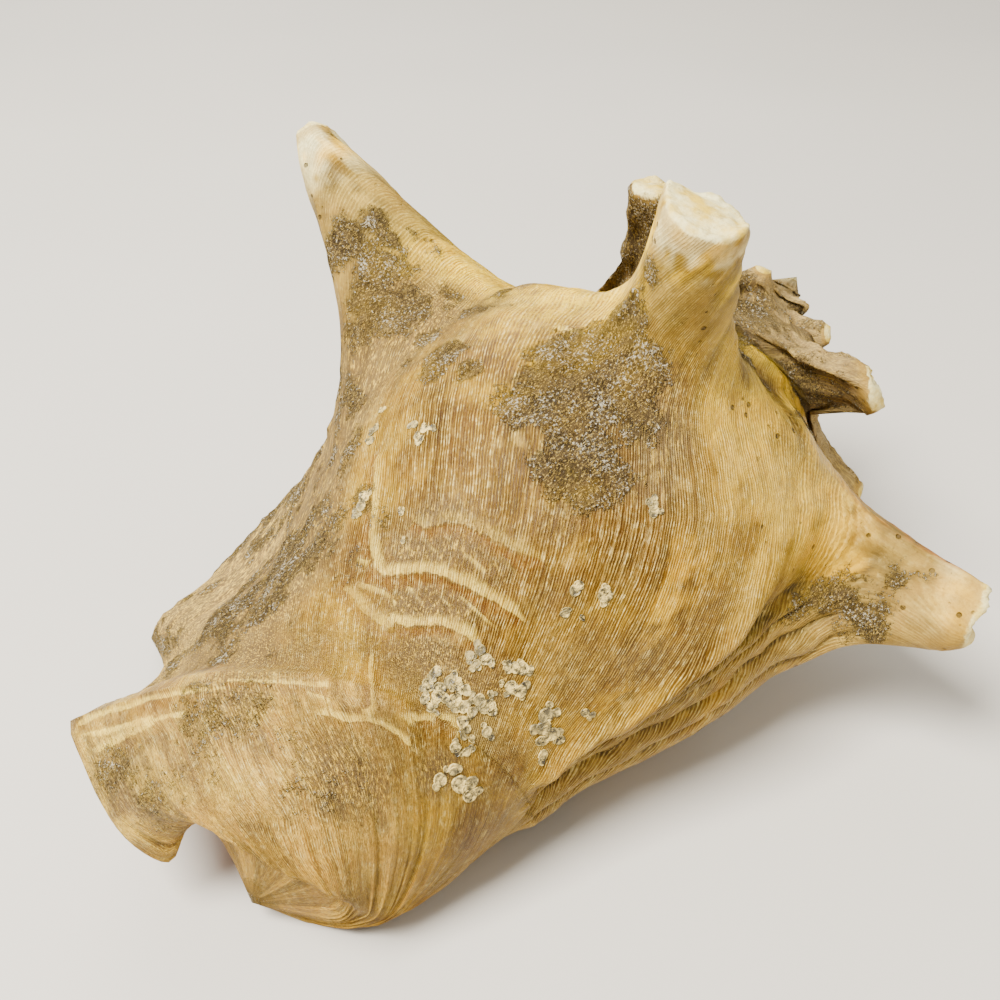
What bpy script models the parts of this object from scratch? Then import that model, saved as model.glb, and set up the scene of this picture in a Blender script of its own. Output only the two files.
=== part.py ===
"""Queen conch shell, lying on its aperture.

The shell is one grown piece: a spire of small knobbed whorls, a wide last whorl with
long blunt spines on its shoulder, a flared outer lip that rests on the table, and a
spout-shaped canal at the front. It is built as one closed surface. A growth line is a
curve from the suture over the shoulder to the columella, and the surface is what that
curve sweeps as it turns around the coiling axis.

Lengths are in millimetres until the mesh is made, which is in metres. The x axis
points to the spire, +y to the outer lip, and +z up. An angle around the coiling axis
is 0 on the -y side, 90 on top and 180 on the lip's side, and it grows towards the lip.
"""

import bmesh
import bpy
import numpy as np

MM = 0.001

# Coiling axis, from the end of the columella to the tip of the spire.
COLUMELLA_END = np.array((-88.0, -26.0, 8.0))
SPIRE_TIP = np.array((112.0, 0.0, 75.5))
AXIS_LENGTH = float(np.linalg.norm(SPIRE_TIP - COLUMELLA_END))
AXIS = (SPIRE_TIP - COLUMELLA_END) / AXIS_LENGTH
UPWARD = np.array((0.0, 0.0, 1.0)) - AXIS[2] * AXIS
UPWARD = UPWARD / np.linalg.norm(UPWARD)
SIDEWARD = np.cross(AXIS, UPWARD)

# Growth law of the spire: every measure grows by this factor in one turn.
GROWTH = 1.6
SHOULDER_DROP = 66.0
SHOULDER_RADIUS = 47.5
NEXT_SUTURE_DROP = 1.13
NEXT_SUTURE_RADIUS = 1.04

# Angles of growth: the lip, one turn before it, and how far back the hollow reaches.
LIP = 215.0
LAST_TURN = LIP - 360.0
HOLLOW_END = -20.0

# Whorls of the spire, and the angles over which the first one opens out from the tip.
SPIRE_TURNS = 4
FIRST_WHORL_SPAN = (-20.0, 260.0)

# Inside the hollow the older whorl's spines fade out over this angle.
UNCOVERED_SPAN = 60.0

# Columns left out in the spire and in the hollow: every second one is kept.
SPIRE_STRIDE = 2
HOLLOW_STRIDE = 2

# The surface of the table, and where the part's origin lies on it.
TABLE = 0.0
ORIGIN = np.array((2.8, -5.0, TABLE))

# Growth angles at which the growth line is given, and its points there. Each point is
# (distance along the axis, distance from the axis, angle around the axis).
KEYS = (-300, -220, LAST_TURN, -90, -45, 0, 45, 90, 120, 150, 182, LIP)
UPPER_FLANK = ((136, 31, -300), (130, 34, -220), (125, 38, -145), (122, 44, -90),
               (119, 53, -45), (117, 55, 0), (117, 55, 45), (117, 58, 90),
               (115, 60, 120), (113, 61, 150), (110, 74, 179), (110, 108, 203))
MIDDLE_FLANK = ((106, 24, -300), (101, 28, -220), (96, 33, -145), (93, 36, -90),
                (91, 48, -45), (91, 52, 0), (91, 54, 45), (91, 57.5, 90),
                (91, 59, 120), (90, 60, 150), (88, 74, 178), (86, 108, 199.5))
LOWER_FLANK = ((74, 17, -300), (70, 20, -220), (66, 24, -145), (63, 26, -90),
               (62, 36, -45), (62, 39.5, 0), (62, 42, 45), (61, 44.5, 90),
               (60, 46, 119), (58, 47, 148), (57, 60, 175), (54, 99, 195))
WAIST = ((62, 14, -300), (59, 16.5, -220), (56, 20.5, -145), (54, 23, -90),
         (54, 33.5, -45), (54, 37.5, 0), (52, 39.5, 44), (48, 41.5, 86),
         (43, 43, 112), (38, 45, 137), (35, 56, 166), (33, 91, 191))
LIP_NOTCH = ((57, 13, -300), (55, 15.5, -220), (52, 19, -145), (51, 22, -90),
             (51, 32.5, -45), (51, 37, 0), (49, 39.5, 43), (44, 41, 83),
             (37, 42, 107), (31, 43, 130), (27, 49, 156), (24, 62, 179))
CANAL_SIDE = ((52, 12.5, -300), (50, 15, -220), (49, 18, -145), (48.5, 21, -90),
              (48.5, 31.5, -45), (48.5, 36.5, 0), (46, 39.8, 42.5), (40, 41.5, 80),
              (32, 42, 102), (25, 43, 123), (18, 46, 144), (10, 55, 170))
CANAL_RIDGE = ((48, 12, -300), (47, 14, -220), (46, 17, -145), (46, 20, -90),
               (46, 31, -45), (46, 36, 0), (44, 40, 42), (36, 42, 76),
               (27, 43, 98), (18, 45, 118), (9, 48, 132), (0, 52, 145))
CANAL_FRONT = ((36, 10, -300), (34, 11, -220), (32, 13, -145), (32, 16, -98),
               (32, 21.5, -60), (32, 30, -20), (29, 33, 18), (23, 35, 45),
               (16, 35, 66), (8, 35, 88), (0, 34, 110), (-8, 34, 133))
FASCIOLE = ((24, 9, -300), (20, 9, -220), (17, 9.5, -150), (17, 11, -110),
            (17, 15.5, -78), (17, 23.5, -38), (15, 25.5, -10), (13, 27, 15),
            (9, 28, 38), (5, 28, 62), (2, 28.2, 95.5), (-7, 19, 138))
NOTCH = ((18, 8, -300), (13, 7.5, -220), (8, 7, -155), (8, 8, -125),
         (8, 10.5, -95), (8, 14, -58), (8, 18.5, -30), (9, 21, -5),
         (10, 22, 18), (10, 24, 45), (8, 24, 85), (3, 23, 138))
COLUMELLA = ((15, 7, -300), (9, 6.5, -220), (3, 5, -160), (3, 6, -140),
             (3, 7.5, -110), (3, 9.5, -75), (3, 12, -50), (5, 14, -25),
             (6, 16, 0), (8, 18, 35), (8, 17, 75), (3, 13, 150))
PILLAR_FOOT = ((13, 6.5, -300), (6, 5.5, -220), (-1, 3, LAST_TURN))
SHOULDER_AT_LIP = (131, 90, 205)
NEXT_SUTURE_AT_LIP = (120, 101, 204)
RAMP_AT_LIP = (144, 62, 209)
POLE = (-2, 0, 0)

# The lip flares from this angle on, slowly at first, and the ramp is a little sunken.
FLARE_START = 140.0
FLARE_POWER = 1.8
RAMP_SINK = 0.965

# Order of the points along a growth line.
SUTURE_ROW, RAMP_ROW, SHOULDER_ROW, NEXT_SUTURE_ROW = 0, 1, 2, 3
FLANK_ROWS = (UPPER_FLANK, MIDDLE_FLANK, LOWER_FLANK, WAIST, LIP_NOTCH, CANAL_SIDE,
              CANAL_RIDGE, CANAL_FRONT, FASCIOLE, NOTCH, COLUMELLA)
RIDGE_ROW = NEXT_SUTURE_ROW + 1 + FLANK_ROWS.index(CANAL_RIDGE)
POLE_ROW = NEXT_SUTURE_ROW + len(FLANK_ROWS) + 1

# Wall of the shell. It thins by this share over the rows in front of the canal's ridge,
# and there it keeps this height of shell under it. From the last row given here the
# hollow closes down to the foot of the columella.
WALL = 4.2
TIP_THINNING = 0.7
THINNING_ROWS = (RIDGE_ROW + 0.5, RIDGE_ROW + 2.5)
FLOOR_WALL = 2.5
FOOT_START = 13.5

# Spines: growth angle, tip, shape, and how far the foot runs ahead, behind, towards
# the canal and towards the spire, as factors. A shape is a list of (distance on the
# whorl, distance from the spine's own line, height as a share of the spine).
TALL_CONE = ((0, 0, 1), (4.2, 3.8, 0.985), (11, 9, 0.78), (20, 16.5, 0.42), (29, 26, 0.14), (38, 38, 0))
COLUMN = ((0, 0, 1), (7.5, 9.0, 0.99), (14, 10.2, 0.62), (21, 12.2, 0.26), (28, 19, 0.07), (38, 38, 0))
CONE = ((0, 0, 1), (6, 6.0, 0.985), (12, 9.2, 0.66), (20, 14, 0.33), (28, 23, 0.12), (38, 38, 0))
KNOB = ((0, 0, 1), (4.0, 4.0, 0.93), (9, 7.5, 0.6), (16, 13, 0.2), (24, 24, 0))
SPINES = (
    (141, (140, 116, 141), TALL_CONE, (1.0, 0.42, 1.4, 0.38)),
    (73, (139, 93, 72.5), COLUMN, (1.0, 1.0, 1.15, 0.8)),
    (-10, (141.5, 87.5, -0.3), CONE, (0.8, 1.3, 1.45, 0.38)),
    (-72, (141, 57, -72), KNOB, (1.0, 1.0, 1.2, 0.9)),
)
SPIRE_SPINES = (
    (-138, (151, 44, -138), 0.9),
    (-205, (160, 44, -205), 0.75),
    (-263, (167, 62, -263), 0.9),
    (-338, (171.5, 49.5, -339), 0.8),
    (-395, (172, 50, -395), 0.6),
)
SPIRE_REACH = (1.0, 1.0, 1.0, 0.8)

# Small knobs of the older whorls, as shares of the whorl's own radius. They end this
# many degrees after the tip of the spire.
SMALL_KNOB_STEP = 50.0
SMALL_KNOB_LENGTH = 0.4
SMALL_KNOB_LEAN = 0.06
SMALL_KNOB_SIZE = 0.02
SMALL_KNOB_START = 300.0

# A spine moves nothing further off than this angle, and depth under its foot counts
# by this share.
SPINE_SPAN = 100.0
SPINE_DEPTH_SHARE = 0.5

# Old growth edge from the near spine to the canal: a rounded ridge beside a groove,
# each as (growth angle, width in degrees, height by the spine, height by the canal).
OLD_EDGE_RIDGE = (-19.0, 9.0, 3.6, 0.8)
OLD_EDGE_GROOVE = (-4.0, 6.0, -1.8, -2.6)
OLD_EDGE_TOP_ROWS = (2.4, 3.2)
OLD_EDGE_CANAL_ROWS = (3.8, 5.2)
OLD_EDGE_END_ROWS = (9.0, 10.5)

# Raised cord along the canal: height, half width in rows, and the angles it fades in over.
CORD_HEIGHT = 1.8
CORD_WIDTH = 0.22
CORD_START = (40.0, 100.0)

# Fineness of the mesh.
COLUMNS_PER_TURN = 60
GROWTH_LINE_STEPS = (2, 3, 3, 4, 4, 4, 2, 2, 1, 1, 3, 3, 2, 2, 2)
SPINE_CROWDING = 1.4
SPINE_CROWDING_WIDTH = 11.0
FINE_STEPS = 3601


def hermite(keys, values, at):
    """Smooth curve through values at keys, for an array of places."""
    keys = np.asarray(keys, float)
    values = np.asarray(values, float)
    slope = np.gradient(values, keys, axis=0)
    index = np.clip(np.searchsorted(keys, at, side="right") - 1, 0, len(keys) - 2)
    step = (keys[index + 1] - keys[index])
    part = (at - keys[index]) / step
    step = step[:, None]
    part = part[:, None]
    low, high = values[index], values[index + 1]
    low_slope, high_slope = slope[index] * step, slope[index + 1] * step
    return ((2 * part ** 3 - 3 * part ** 2 + 1) * low + (part ** 3 - 2 * part ** 2 + part) * low_slope
            + (3 * part ** 2 - 2 * part ** 3) * high + (part ** 3 - part ** 2) * high_slope)


def smoothstep(low, high, value):
    """Goes smoothly from 0 at low to 1 at high."""
    part = np.clip((value - low) / (high - low), 0.0, 1.0)
    return part * part * (3 - 2 * part)


def growth(angle):
    """How much larger the shell is at this angle than at angle 0."""
    return GROWTH ** (np.asarray(angle, float) / 360.0)


def place(point):
    """World place of points given along, from and around the axis."""
    point = np.asarray(point, float)
    turn = np.radians(point[..., 2])
    out = np.cos(turn)[..., None] * SIDEWARD + np.sin(turn)[..., None] * UPWARD
    return COLUMELLA_END + point[..., 0:1] * AXIS + point[..., 1:2] * out


def shoulder(angle):
    """Points of the shoulder at an array of angles."""
    drop = SHOULDER_DROP * growth(angle)
    return np.stack((AXIS_LENGTH - drop, SHOULDER_RADIUS * growth(angle), angle), -1)


def next_suture(angle):
    """Points where the following whorl will join this one."""
    drop = NEXT_SUTURE_DROP * SHOULDER_DROP * growth(angle)
    radius = NEXT_SUTURE_RADIUS * SHOULDER_RADIUS * growth(angle)
    return np.stack((AXIS_LENGTH - drop, radius, angle), -1)


def suture(angle):
    """Points where this whorl joins the one before it."""
    before = next_suture(np.asarray(angle, float) - 360.0)
    before[..., 2] += 360.0
    return before


def growth_line(angle):
    """Points of the growth lines at an array of angles: (angles, rows, 3)."""
    angle = np.asarray(angle, float)
    flare = np.clip((angle - FLARE_START) / (LIP - FLARE_START), 0.0, None) ** FLARE_POWER
    lip = np.array([LIP])

    def bent(law, at_lip):
        return law(angle) + flare[:, None] * (np.asarray(at_lip, float) - law(lip)[0])

    first = suture(angle)
    top = bent(shoulder, SHOULDER_AT_LIP)
    middle = 0.5 * (first + top)
    middle[:, 1] *= RAMP_SINK
    ramp = middle + flare[:, None] * (np.asarray(RAMP_AT_LIP, float)
                                      - 0.5 * (suture(lip)[0] + np.asarray(SHOULDER_AT_LIP, float)))
    under = bent(next_suture, NEXT_SUTURE_AT_LIP)
    rows = [first, ramp, top, under]
    inside = np.clip(angle, KEYS[0], KEYS[-1])
    for row in FLANK_ROWS:
        point = hermite(KEYS, row, inside)
        scale = np.where(angle < inside, growth(angle - inside), 1.0)
        point[:, 0] = AXIS_LENGTH - (AXIS_LENGTH - point[:, 0]) * scale
        point[:, 1] *= scale
        point[:, 2] += angle - inside
        rows.append(point)
    foot = hermite([key for key in KEYS if key <= LAST_TURN], PILLAR_FOOT,
                   np.clip(angle, KEYS[0], LAST_TURN))
    foot[angle > LAST_TURN] = POLE
    rows.append(foot)
    return np.stack(rows, 1)


def whorl(angle, row):
    """Bare whorl surface, without spines: places at the grid of angles and rows."""
    line = place(growth_line(angle))
    keys = np.arange(line.shape[1])
    flat = hermite(keys, line.transpose(1, 0, 2).reshape(len(keys), -1), np.asarray(row, float))
    return flat.reshape(len(row), len(angle), 3).transpose(1, 0, 2)


def spine_list():
    """Every spine as (growth angle, tip, shape, size, reaches)."""
    spines = [(angle, tip, shape, 1.0, reach) for angle, tip, shape, reach in SPINES]
    spines += [(angle, tip, CONE, size, SPIRE_REACH) for angle, tip, size in SPIRE_SPINES]
    angle = SPIRE_SPINES[-1][0] - SMALL_KNOB_STEP
    while angle > LAST_TURN - 360 * SPIRE_TURNS + SMALL_KNOB_START:
        along, radius, turn = shoulder(np.array([float(angle)]))[0]
        tip = (along + SMALL_KNOB_LEAN * radius, radius * (1 + SMALL_KNOB_LENGTH), turn)
        spines.append((angle, tip, KNOB, SMALL_KNOB_SIZE * radius, SPIRE_REACH))
        angle -= SMALL_KNOB_STEP
    return spines


def add_spines(places, angle):
    """Draws the surface out to the spines near it."""
    result = places.copy()
    for at, tip, shape, size, (ahead, behind, down, up) in spine_list():
        near = np.abs(angle - at) < SPINE_SPAN
        if not near.any():
            continue
        frame = whorl(np.array([at - 2.0, at, at + 2.0]), np.array([SHOULDER_ROW - 0.1, SHOULDER_ROW]))
        foot = frame[1, 1]
        along = frame[2, 1] - frame[0, 1]
        along = along / np.linalg.norm(along)
        outward = np.cross(along, AXIS)
        outward = outward / np.linalg.norm(outward)
        offset = places[near] - foot
        run = offset @ along
        fore = -offset @ AXIS
        sink = offset @ outward
        run_part = run / np.where(run > 0, ahead, behind)
        fore_part = fore / np.where(fore > 0, down, up)
        distance = np.sqrt(run_part ** 2 + fore_part ** 2 + (SPINE_DEPTH_SHARE * sink) ** 2) / size
        table = np.asarray(shape, float)
        inside = distance < table[-1, 0]
        profile = hermite(table[:, 0], table[:, 1:], distance[inside])
        factor = profile[:, 0] / np.maximum(distance[inside], 1e-6)
        height = np.clip(profile[:, 1], 0, 1)
        rise = place(np.array(tip, float)) - foot
        block = result[near]
        block[inside] = foot + offset[inside] * factor[:, None] + rise * height[:, None]
        result[near] = block
    return result


def relief(places, angle, row):
    """Old growth edge and raised cord, on the last whorl."""
    normal = surface_normal(places)
    grid_angle, grid_row = np.meshgrid(angle, row, indexing="ij")
    reach = smoothstep(*OLD_EDGE_TOP_ROWS, grid_row) * (1 - smoothstep(*OLD_EDGE_END_ROWS, grid_row))
    canal_share = smoothstep(*OLD_EDGE_CANAL_ROWS, grid_row)
    cord = np.exp(-((grid_row - RIDGE_ROW) / CORD_WIDTH) ** 2)
    height = CORD_HEIGHT * cord * smoothstep(*CORD_START, grid_angle)
    for at, width, by_spine, by_canal in (OLD_EDGE_RIDGE, OLD_EDGE_GROOVE):
        rise = by_spine + (by_canal - by_spine) * canal_share
        height = height + rise * reach * np.exp(-((grid_angle - at) / width) ** 2)
    return places + normal * height[..., None]


def surface_normal(places):
    """Outward normals of a grid of places."""
    around = np.gradient(places, axis=0)
    across = np.gradient(places, axis=1)
    normal = np.cross(around, across)
    size = np.linalg.norm(normal, axis=2, keepdims=True)
    return normal / np.maximum(size, 1e-9)


def row_samples(steps):
    """Places along a growth line, with more where the steps say."""
    samples = [0.0]
    for start, count in enumerate(steps):
        samples += [start + (step + 1) / count for step in range(count)]
    return np.array(samples)


class Surface:
    """Collects points and faces of the closed surface."""

    def __init__(self):
        self.points = []
        self.faces = []

    def add(self, places):
        start = len(self.points)
        self.points.extend(np.asarray(places, float).reshape(-1, 3))
        return start + np.arange(len(self.points) - start)

    def face(self, *corners):
        kept = []
        for corner in corners:
            if corner not in kept:
                kept.append(int(corner))
        if len(kept) > 2:
            self.faces.append(kept)

    def grid(self, ids):
        for i in range(ids.shape[0] - 1):
            for j in range(ids.shape[1] - 1):
                self.face(ids[i, j], ids[i, j + 1], ids[i + 1, j + 1], ids[i + 1, j])

    def zip(self, left, right):
        """Fills between two chains that may differ in length."""
        i = j = 0
        while i < len(left) - 1 or j < len(right) - 1:
            forward_left = (i + 1) / (len(left) - 1) if i < len(left) - 1 else 2.0
            forward_right = (j + 1) / (len(right) - 1) if j < len(right) - 1 else 2.0
            if forward_left <= forward_right:
                self.face(left[i], left[i + 1], right[j])
                i += 1
            else:
                self.face(left[i], right[j + 1], right[j])
                j += 1


def turn_offsets(per_turn):
    """Angles of the columns within one turn, crowded where the large spines are."""
    fine = np.linspace(0.0, 360.0, FINE_STEPS)
    density = np.ones_like(fine)
    for at in [spine[0] for spine in SPINES]:
        away = (LAST_TURN + fine - at + 180.0) % 360.0 - 180.0
        density += SPINE_CROWDING * np.exp(-(away / SPINE_CROWDING_WIDTH) ** 2)
    total = np.concatenate(([0.0], np.cumsum(0.5 * (density[1:] + density[:-1]))))
    return np.interp(np.linspace(0, total[-1], per_turn + 1), total, fine)


def shell_surface(per_turn, steps):
    """The whole closed surface: spire, last whorl, hollow and lip."""
    surface = Surface()
    rows = row_samples(steps)
    outer = int(np.argmin(np.abs(rows - NEXT_SUTURE_ROW)))
    inner = outer + 1
    last = len(rows) - 1
    offsets = turn_offsets(per_turn)

    body_angle = LAST_TURN + offsets
    body = relief(add_spines(whorl(body_angle, rows), body_angle), body_angle, rows)
    body_ids = np.zeros((per_turn + 1, len(rows)), int)
    body_ids[:, :last] = surface.add(body[:, :last]).reshape(per_turn + 1, last)
    body_ids[:, last] = surface.add(place(POLE))[0]
    body_ids[-1, 0] = body_ids[0, outer]
    surface.grid(body_ids)
    add_spire(surface, body_ids, offsets, rows[:outer + 1])

    picked = [i for i in range(per_turn + 1) if body_angle[i] > HOLLOW_END]
    picked = picked[::-1][::HOLLOW_STRIDE][::-1]
    wall_angle = body_angle[picked] - 360.0
    wall = whorl(wall_angle, rows[inner:])
    covered = smoothstep(LAST_TURN - UNCOVERED_SPAN, LAST_TURN, wall_angle)[:, None, None]
    wall += (add_spines(wall, wall_angle) - wall) * covered
    wall_ids = np.zeros(wall.shape[:2], int)
    wall_ids[:-1] = surface.add(wall[:-1]).reshape(len(picked) - 1, -1)
    wall_ids[-1] = body_ids[0, inner:]
    surface.grid(wall_ids)

    bare = whorl(body_angle, rows)
    inside = inner_side(bare[picked], surface_normal(bare)[picked], wall, rows)
    hollow_ids = np.zeros(inside.shape[:2], int)
    hollow_ids[:, 1:last] = surface.add(inside[:, 1:last]).reshape(len(picked), -1)
    hollow_ids[:, 0] = wall_ids[:, 0]
    hollow_ids[:, last] = wall_ids[:, -1]
    surface.grid(hollow_ids[:, ::-1])
    surface.zip(body_ids[-1], hollow_ids[-1])
    surface.zip(hollow_ids[0], wall_ids[0])
    return surface


def add_spire(surface, later_ids, offsets, rows):
    """The whorls of the spire, from the last whorl inwards to the tip."""
    outer = len(rows) - 1
    tip = surface.add(SPIRE_TIP)[0]
    first_column = later_ids[0, :outer + 1]
    later_row = later_ids[:, 0]
    for turn in range(1, SPIRE_TURNS + 1):
        chosen = offsets if turn == 1 else offsets[::SPIRE_STRIDE]
        angle = LAST_TURN - 360.0 * turn + chosen
        places = add_spines(whorl(angle, rows), angle)
        if turn == SPIRE_TURNS:
            opened = smoothstep(*FIRST_WHORL_SPAN, chosen)[:, None, None]
            places = SPIRE_TIP + (places - SPIRE_TIP) * opened
        ids = np.zeros((len(angle), outer + 1), int)
        ids[:-1, :outer] = surface.add(places[:-1, :outer]).reshape(len(angle) - 1, outer)
        ids[-1] = first_column
        if turn == SPIRE_TURNS:
            ids[:-1, 0] = tip
            ids[0] = tip
        ids[0, outer] = later_row[0]
        if len(later_row) == len(angle):
            ids[:, outer] = later_row
            surface.grid(ids)
        else:
            surface.grid(ids[:, :outer])
            surface.zip(ids[:, outer - 1], later_row)
        first_column = ids[0]
        later_row = ids[:, 0]


def inner_side(outside, normal, wall, rows):
    """Inner side of the wall: the outside set back by its thickness."""
    thickness = WALL * (1 - TIP_THINNING * smoothstep(*THINNING_ROWS, rows))
    result = outside - thickness[None, :, None] * normal
    lowest = np.where(rows > RIDGE_ROW, TABLE + FLOOR_WALL, TABLE)
    result[..., 2] = np.maximum(result[..., 2], lowest)
    top = np.clip(1 - rows / RAMP_ROW, 0, 1)[None, :, None] ** 2
    result = result * (1 - top) + wall[:, :1] * top
    foot = smoothstep(FOOT_START, POLE_ROW, rows)[None, :, None]
    return result * (1 - foot) + wall[:, -1:] * foot


def build_mesh(name, surface):
    """Makes the surface a closed triangle mesh in metres."""
    mesh = bpy.data.meshes.new(name)
    points = np.array(surface.points)
    points[:, 2] = np.maximum(points[:, 2], TABLE)
    points = (points - ORIGIN) * MM
    mesh.from_pydata(points.tolist(), [], surface.faces)
    edit = bmesh.new()
    edit.from_mesh(mesh)
    loose = [vertex for vertex in edit.verts if not vertex.link_faces]
    bmesh.ops.delete(edit, geom=loose, context="VERTS")
    bmesh.ops.recalc_face_normals(edit, faces=edit.faces)
    bmesh.ops.triangulate(edit, faces=edit.faces)
    edit.to_mesh(mesh)
    edit.free()
    mesh.shade_smooth()
    return mesh


def shell_material():
    """Plain worn shell, amber to cream."""
    material = bpy.data.materials.new("worn_shell")
    material.use_nodes = True
    shader = material.node_tree.nodes["Principled BSDF"]
    shader.inputs["Base Color"].default_value = (0.62, 0.36, 0.13, 1.0)
    shader.inputs["Roughness"].default_value = 0.6
    shader.inputs["Metallic"].default_value = 0.0
    return material


def main():
    for old in list(bpy.data.objects):
        bpy.data.objects.remove(old, do_unlink=True)
    parts = bpy.data.collections.new("queen_conch_shell")
    bpy.context.scene.collection.children.link(parts)
    surface = shell_surface(COLUMNS_PER_TURN, GROWTH_LINE_STEPS)
    shell = bpy.data.objects.new("conch_shell", build_mesh("conch_shell", surface))
    shell.data.materials.append(shell_material())
    parts.objects.link(shell)


main()
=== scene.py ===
"""Queen conch shell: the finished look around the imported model.

The shell's surface is made again from the same growth law as the solid, with far more
columns, and then worn: growth ribs, old edges and folds, a crust of lumps, flat broken
spine tips, pits and small round spat. Lengths are in millimetres until a mesh is made,
and angles of growth are in degrees.
"""

import math

import bmesh
import bpy
import numpy as np
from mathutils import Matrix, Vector
from mathutils.bvhtree import BVHTree


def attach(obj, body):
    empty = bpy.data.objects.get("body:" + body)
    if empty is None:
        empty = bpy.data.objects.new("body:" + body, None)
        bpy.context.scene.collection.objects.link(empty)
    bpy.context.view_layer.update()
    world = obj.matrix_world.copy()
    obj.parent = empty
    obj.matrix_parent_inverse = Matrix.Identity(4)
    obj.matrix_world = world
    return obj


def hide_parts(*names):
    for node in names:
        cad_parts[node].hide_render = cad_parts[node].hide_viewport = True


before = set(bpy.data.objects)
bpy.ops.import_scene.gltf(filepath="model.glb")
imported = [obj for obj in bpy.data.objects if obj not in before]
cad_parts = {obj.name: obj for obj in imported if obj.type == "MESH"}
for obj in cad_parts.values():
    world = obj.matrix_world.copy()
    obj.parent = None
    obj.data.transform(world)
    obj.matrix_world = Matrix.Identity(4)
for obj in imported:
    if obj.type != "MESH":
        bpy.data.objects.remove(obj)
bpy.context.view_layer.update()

MM = 0.001

# Coiling axis, from the end of the columella to the tip of the spire.
COLUMELLA_END = np.array((-88.0, -26.0, 8.0))
SPIRE_TIP = np.array((112.0, 0.0, 75.5))
AXIS_LENGTH = float(np.linalg.norm(SPIRE_TIP - COLUMELLA_END))
AXIS = (SPIRE_TIP - COLUMELLA_END) / AXIS_LENGTH
UPWARD = np.array((0.0, 0.0, 1.0)) - AXIS[2] * AXIS
UPWARD = UPWARD / np.linalg.norm(UPWARD)
SIDEWARD = np.cross(AXIS, UPWARD)

# Growth law of the spire: every measure grows by this factor in one turn.
GROWTH = 1.6
SHOULDER_DROP = 66.0
SHOULDER_RADIUS = 47.5
NEXT_SUTURE_DROP = 1.13
NEXT_SUTURE_RADIUS = 1.04

# Angles of growth: the lip, one turn before it, the end of the hollow, the first whorl.
LIP = 215.0
LAST_TURN = LIP - 360.0
HOLLOW_END = -20.0
UNCOVERED_SPAN = 60.0
SPIRE_TURNS = 4
FIRST_WHORL_SPAN = (-20.0, 260.0)

# The floor, and where the part's origin lies on it.
FLOOR = 0.0
ORIGIN = np.array((2.8, -5.0, FLOOR))

# Growth angles at which the growth line is given, and its points there. Each point is
# (distance along the axis, distance from the axis, angle around the axis).
KEYS = (-300, -220, LAST_TURN, -90, -45, 0, 45, 90, 120, 150, 182, LIP)
UPPER_FLANK = ((136, 31, -300), (130, 34, -220), (125, 38, -145), (122, 44, -90),
               (119, 53, -45), (117, 55, 0), (117, 55, 45), (117, 58, 90),
               (115, 60, 120), (113, 61, 150), (110, 74, 179), (110, 108, 203))
MIDDLE_FLANK = ((106, 24, -300), (101, 28, -220), (96, 33, -145), (93, 36, -90),
                (91, 48, -45), (91, 52, 0), (91, 54, 45), (91, 57.5, 90),
                (91, 59, 120), (90, 60, 150), (88, 74, 178), (86, 108, 199.5))
LOWER_FLANK = ((74, 17, -300), (70, 20, -220), (66, 24, -145), (63, 26, -90),
               (62, 36, -45), (62, 39.5, 0), (62, 42, 45), (61, 44.5, 90),
               (60, 46, 119), (58, 47, 148), (57, 60, 175), (54, 99, 195))
WAIST = ((62, 14, -300), (59, 16.5, -220), (56, 20.5, -145), (54, 23, -90),
         (54, 33.5, -45), (54, 37.5, 0), (52, 39.5, 44), (48, 41.5, 86),
         (43, 43, 112), (38, 45, 137), (35, 56, 166), (33, 91, 191))
LIP_NOTCH = ((57, 13, -300), (55, 15.5, -220), (52, 19, -145), (51, 22, -90),
             (51, 32.5, -45), (51, 37, 0), (49, 39.5, 43), (44, 41, 83),
             (37, 42, 107), (31, 43, 130), (27, 49, 156), (24, 62, 179))
CANAL_SIDE = ((52, 12.5, -300), (50, 15, -220), (49, 18, -145), (48.5, 21, -90),
              (48.5, 31.5, -45), (48.5, 36.5, 0), (46, 39.8, 42.5), (40, 41.5, 80),
              (32, 42, 102), (25, 43, 123), (18, 46, 144), (10, 55, 170))
CANAL_RIDGE = ((48, 12, -300), (47, 14, -220), (46, 17, -145), (46, 20, -90),
               (46, 31, -45), (46, 36, 0), (44, 40, 42), (36, 42, 76),
               (27, 43, 98), (18, 45, 118), (9, 48, 132), (0, 52, 145))
CANAL_FRONT = ((36, 10, -300), (34, 11, -220), (32, 13, -145), (32, 16, -98),
               (32, 21.5, -60), (32, 30, -20), (29, 33, 18), (23, 35, 45),
               (16, 35, 66), (8, 35, 88), (0, 34, 110), (-8, 34, 133))
FASCIOLE = ((24, 9, -300), (20, 9, -220), (17, 9.5, -150), (17, 11, -110),
            (17, 15.5, -78), (17, 23.5, -38), (15, 25.5, -10), (13, 27, 15),
            (9, 28, 38), (5, 28, 62), (2, 28.2, 95.5), (-7, 19, 138))
NOTCH = ((18, 8, -300), (13, 7.5, -220), (8, 7, -155), (8, 8, -125),
         (8, 10.5, -95), (8, 14, -58), (8, 18.5, -30), (9, 21, -5),
         (10, 22, 18), (10, 24, 45), (8, 24, 85), (3, 23, 138))
COLUMELLA = ((15, 7, -300), (9, 6.5, -220), (3, 5, -160), (3, 6, -140),
             (3, 7.5, -110), (3, 9.5, -75), (3, 12, -50), (5, 14, -25),
             (6, 16, 0), (8, 18, 35), (8, 17, 75), (3, 13, 150))
PILLAR_FOOT = ((13, 6.5, -300), (6, 5.5, -220), (-1, 3, LAST_TURN))
SHOULDER_AT_LIP = (131, 90, 205)
NEXT_SUTURE_AT_LIP = (120, 101, 204)
RAMP_AT_LIP = (144, 62, 209)
POLE = (-2, 0, 0)
FLARE_START = 140.0

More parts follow.
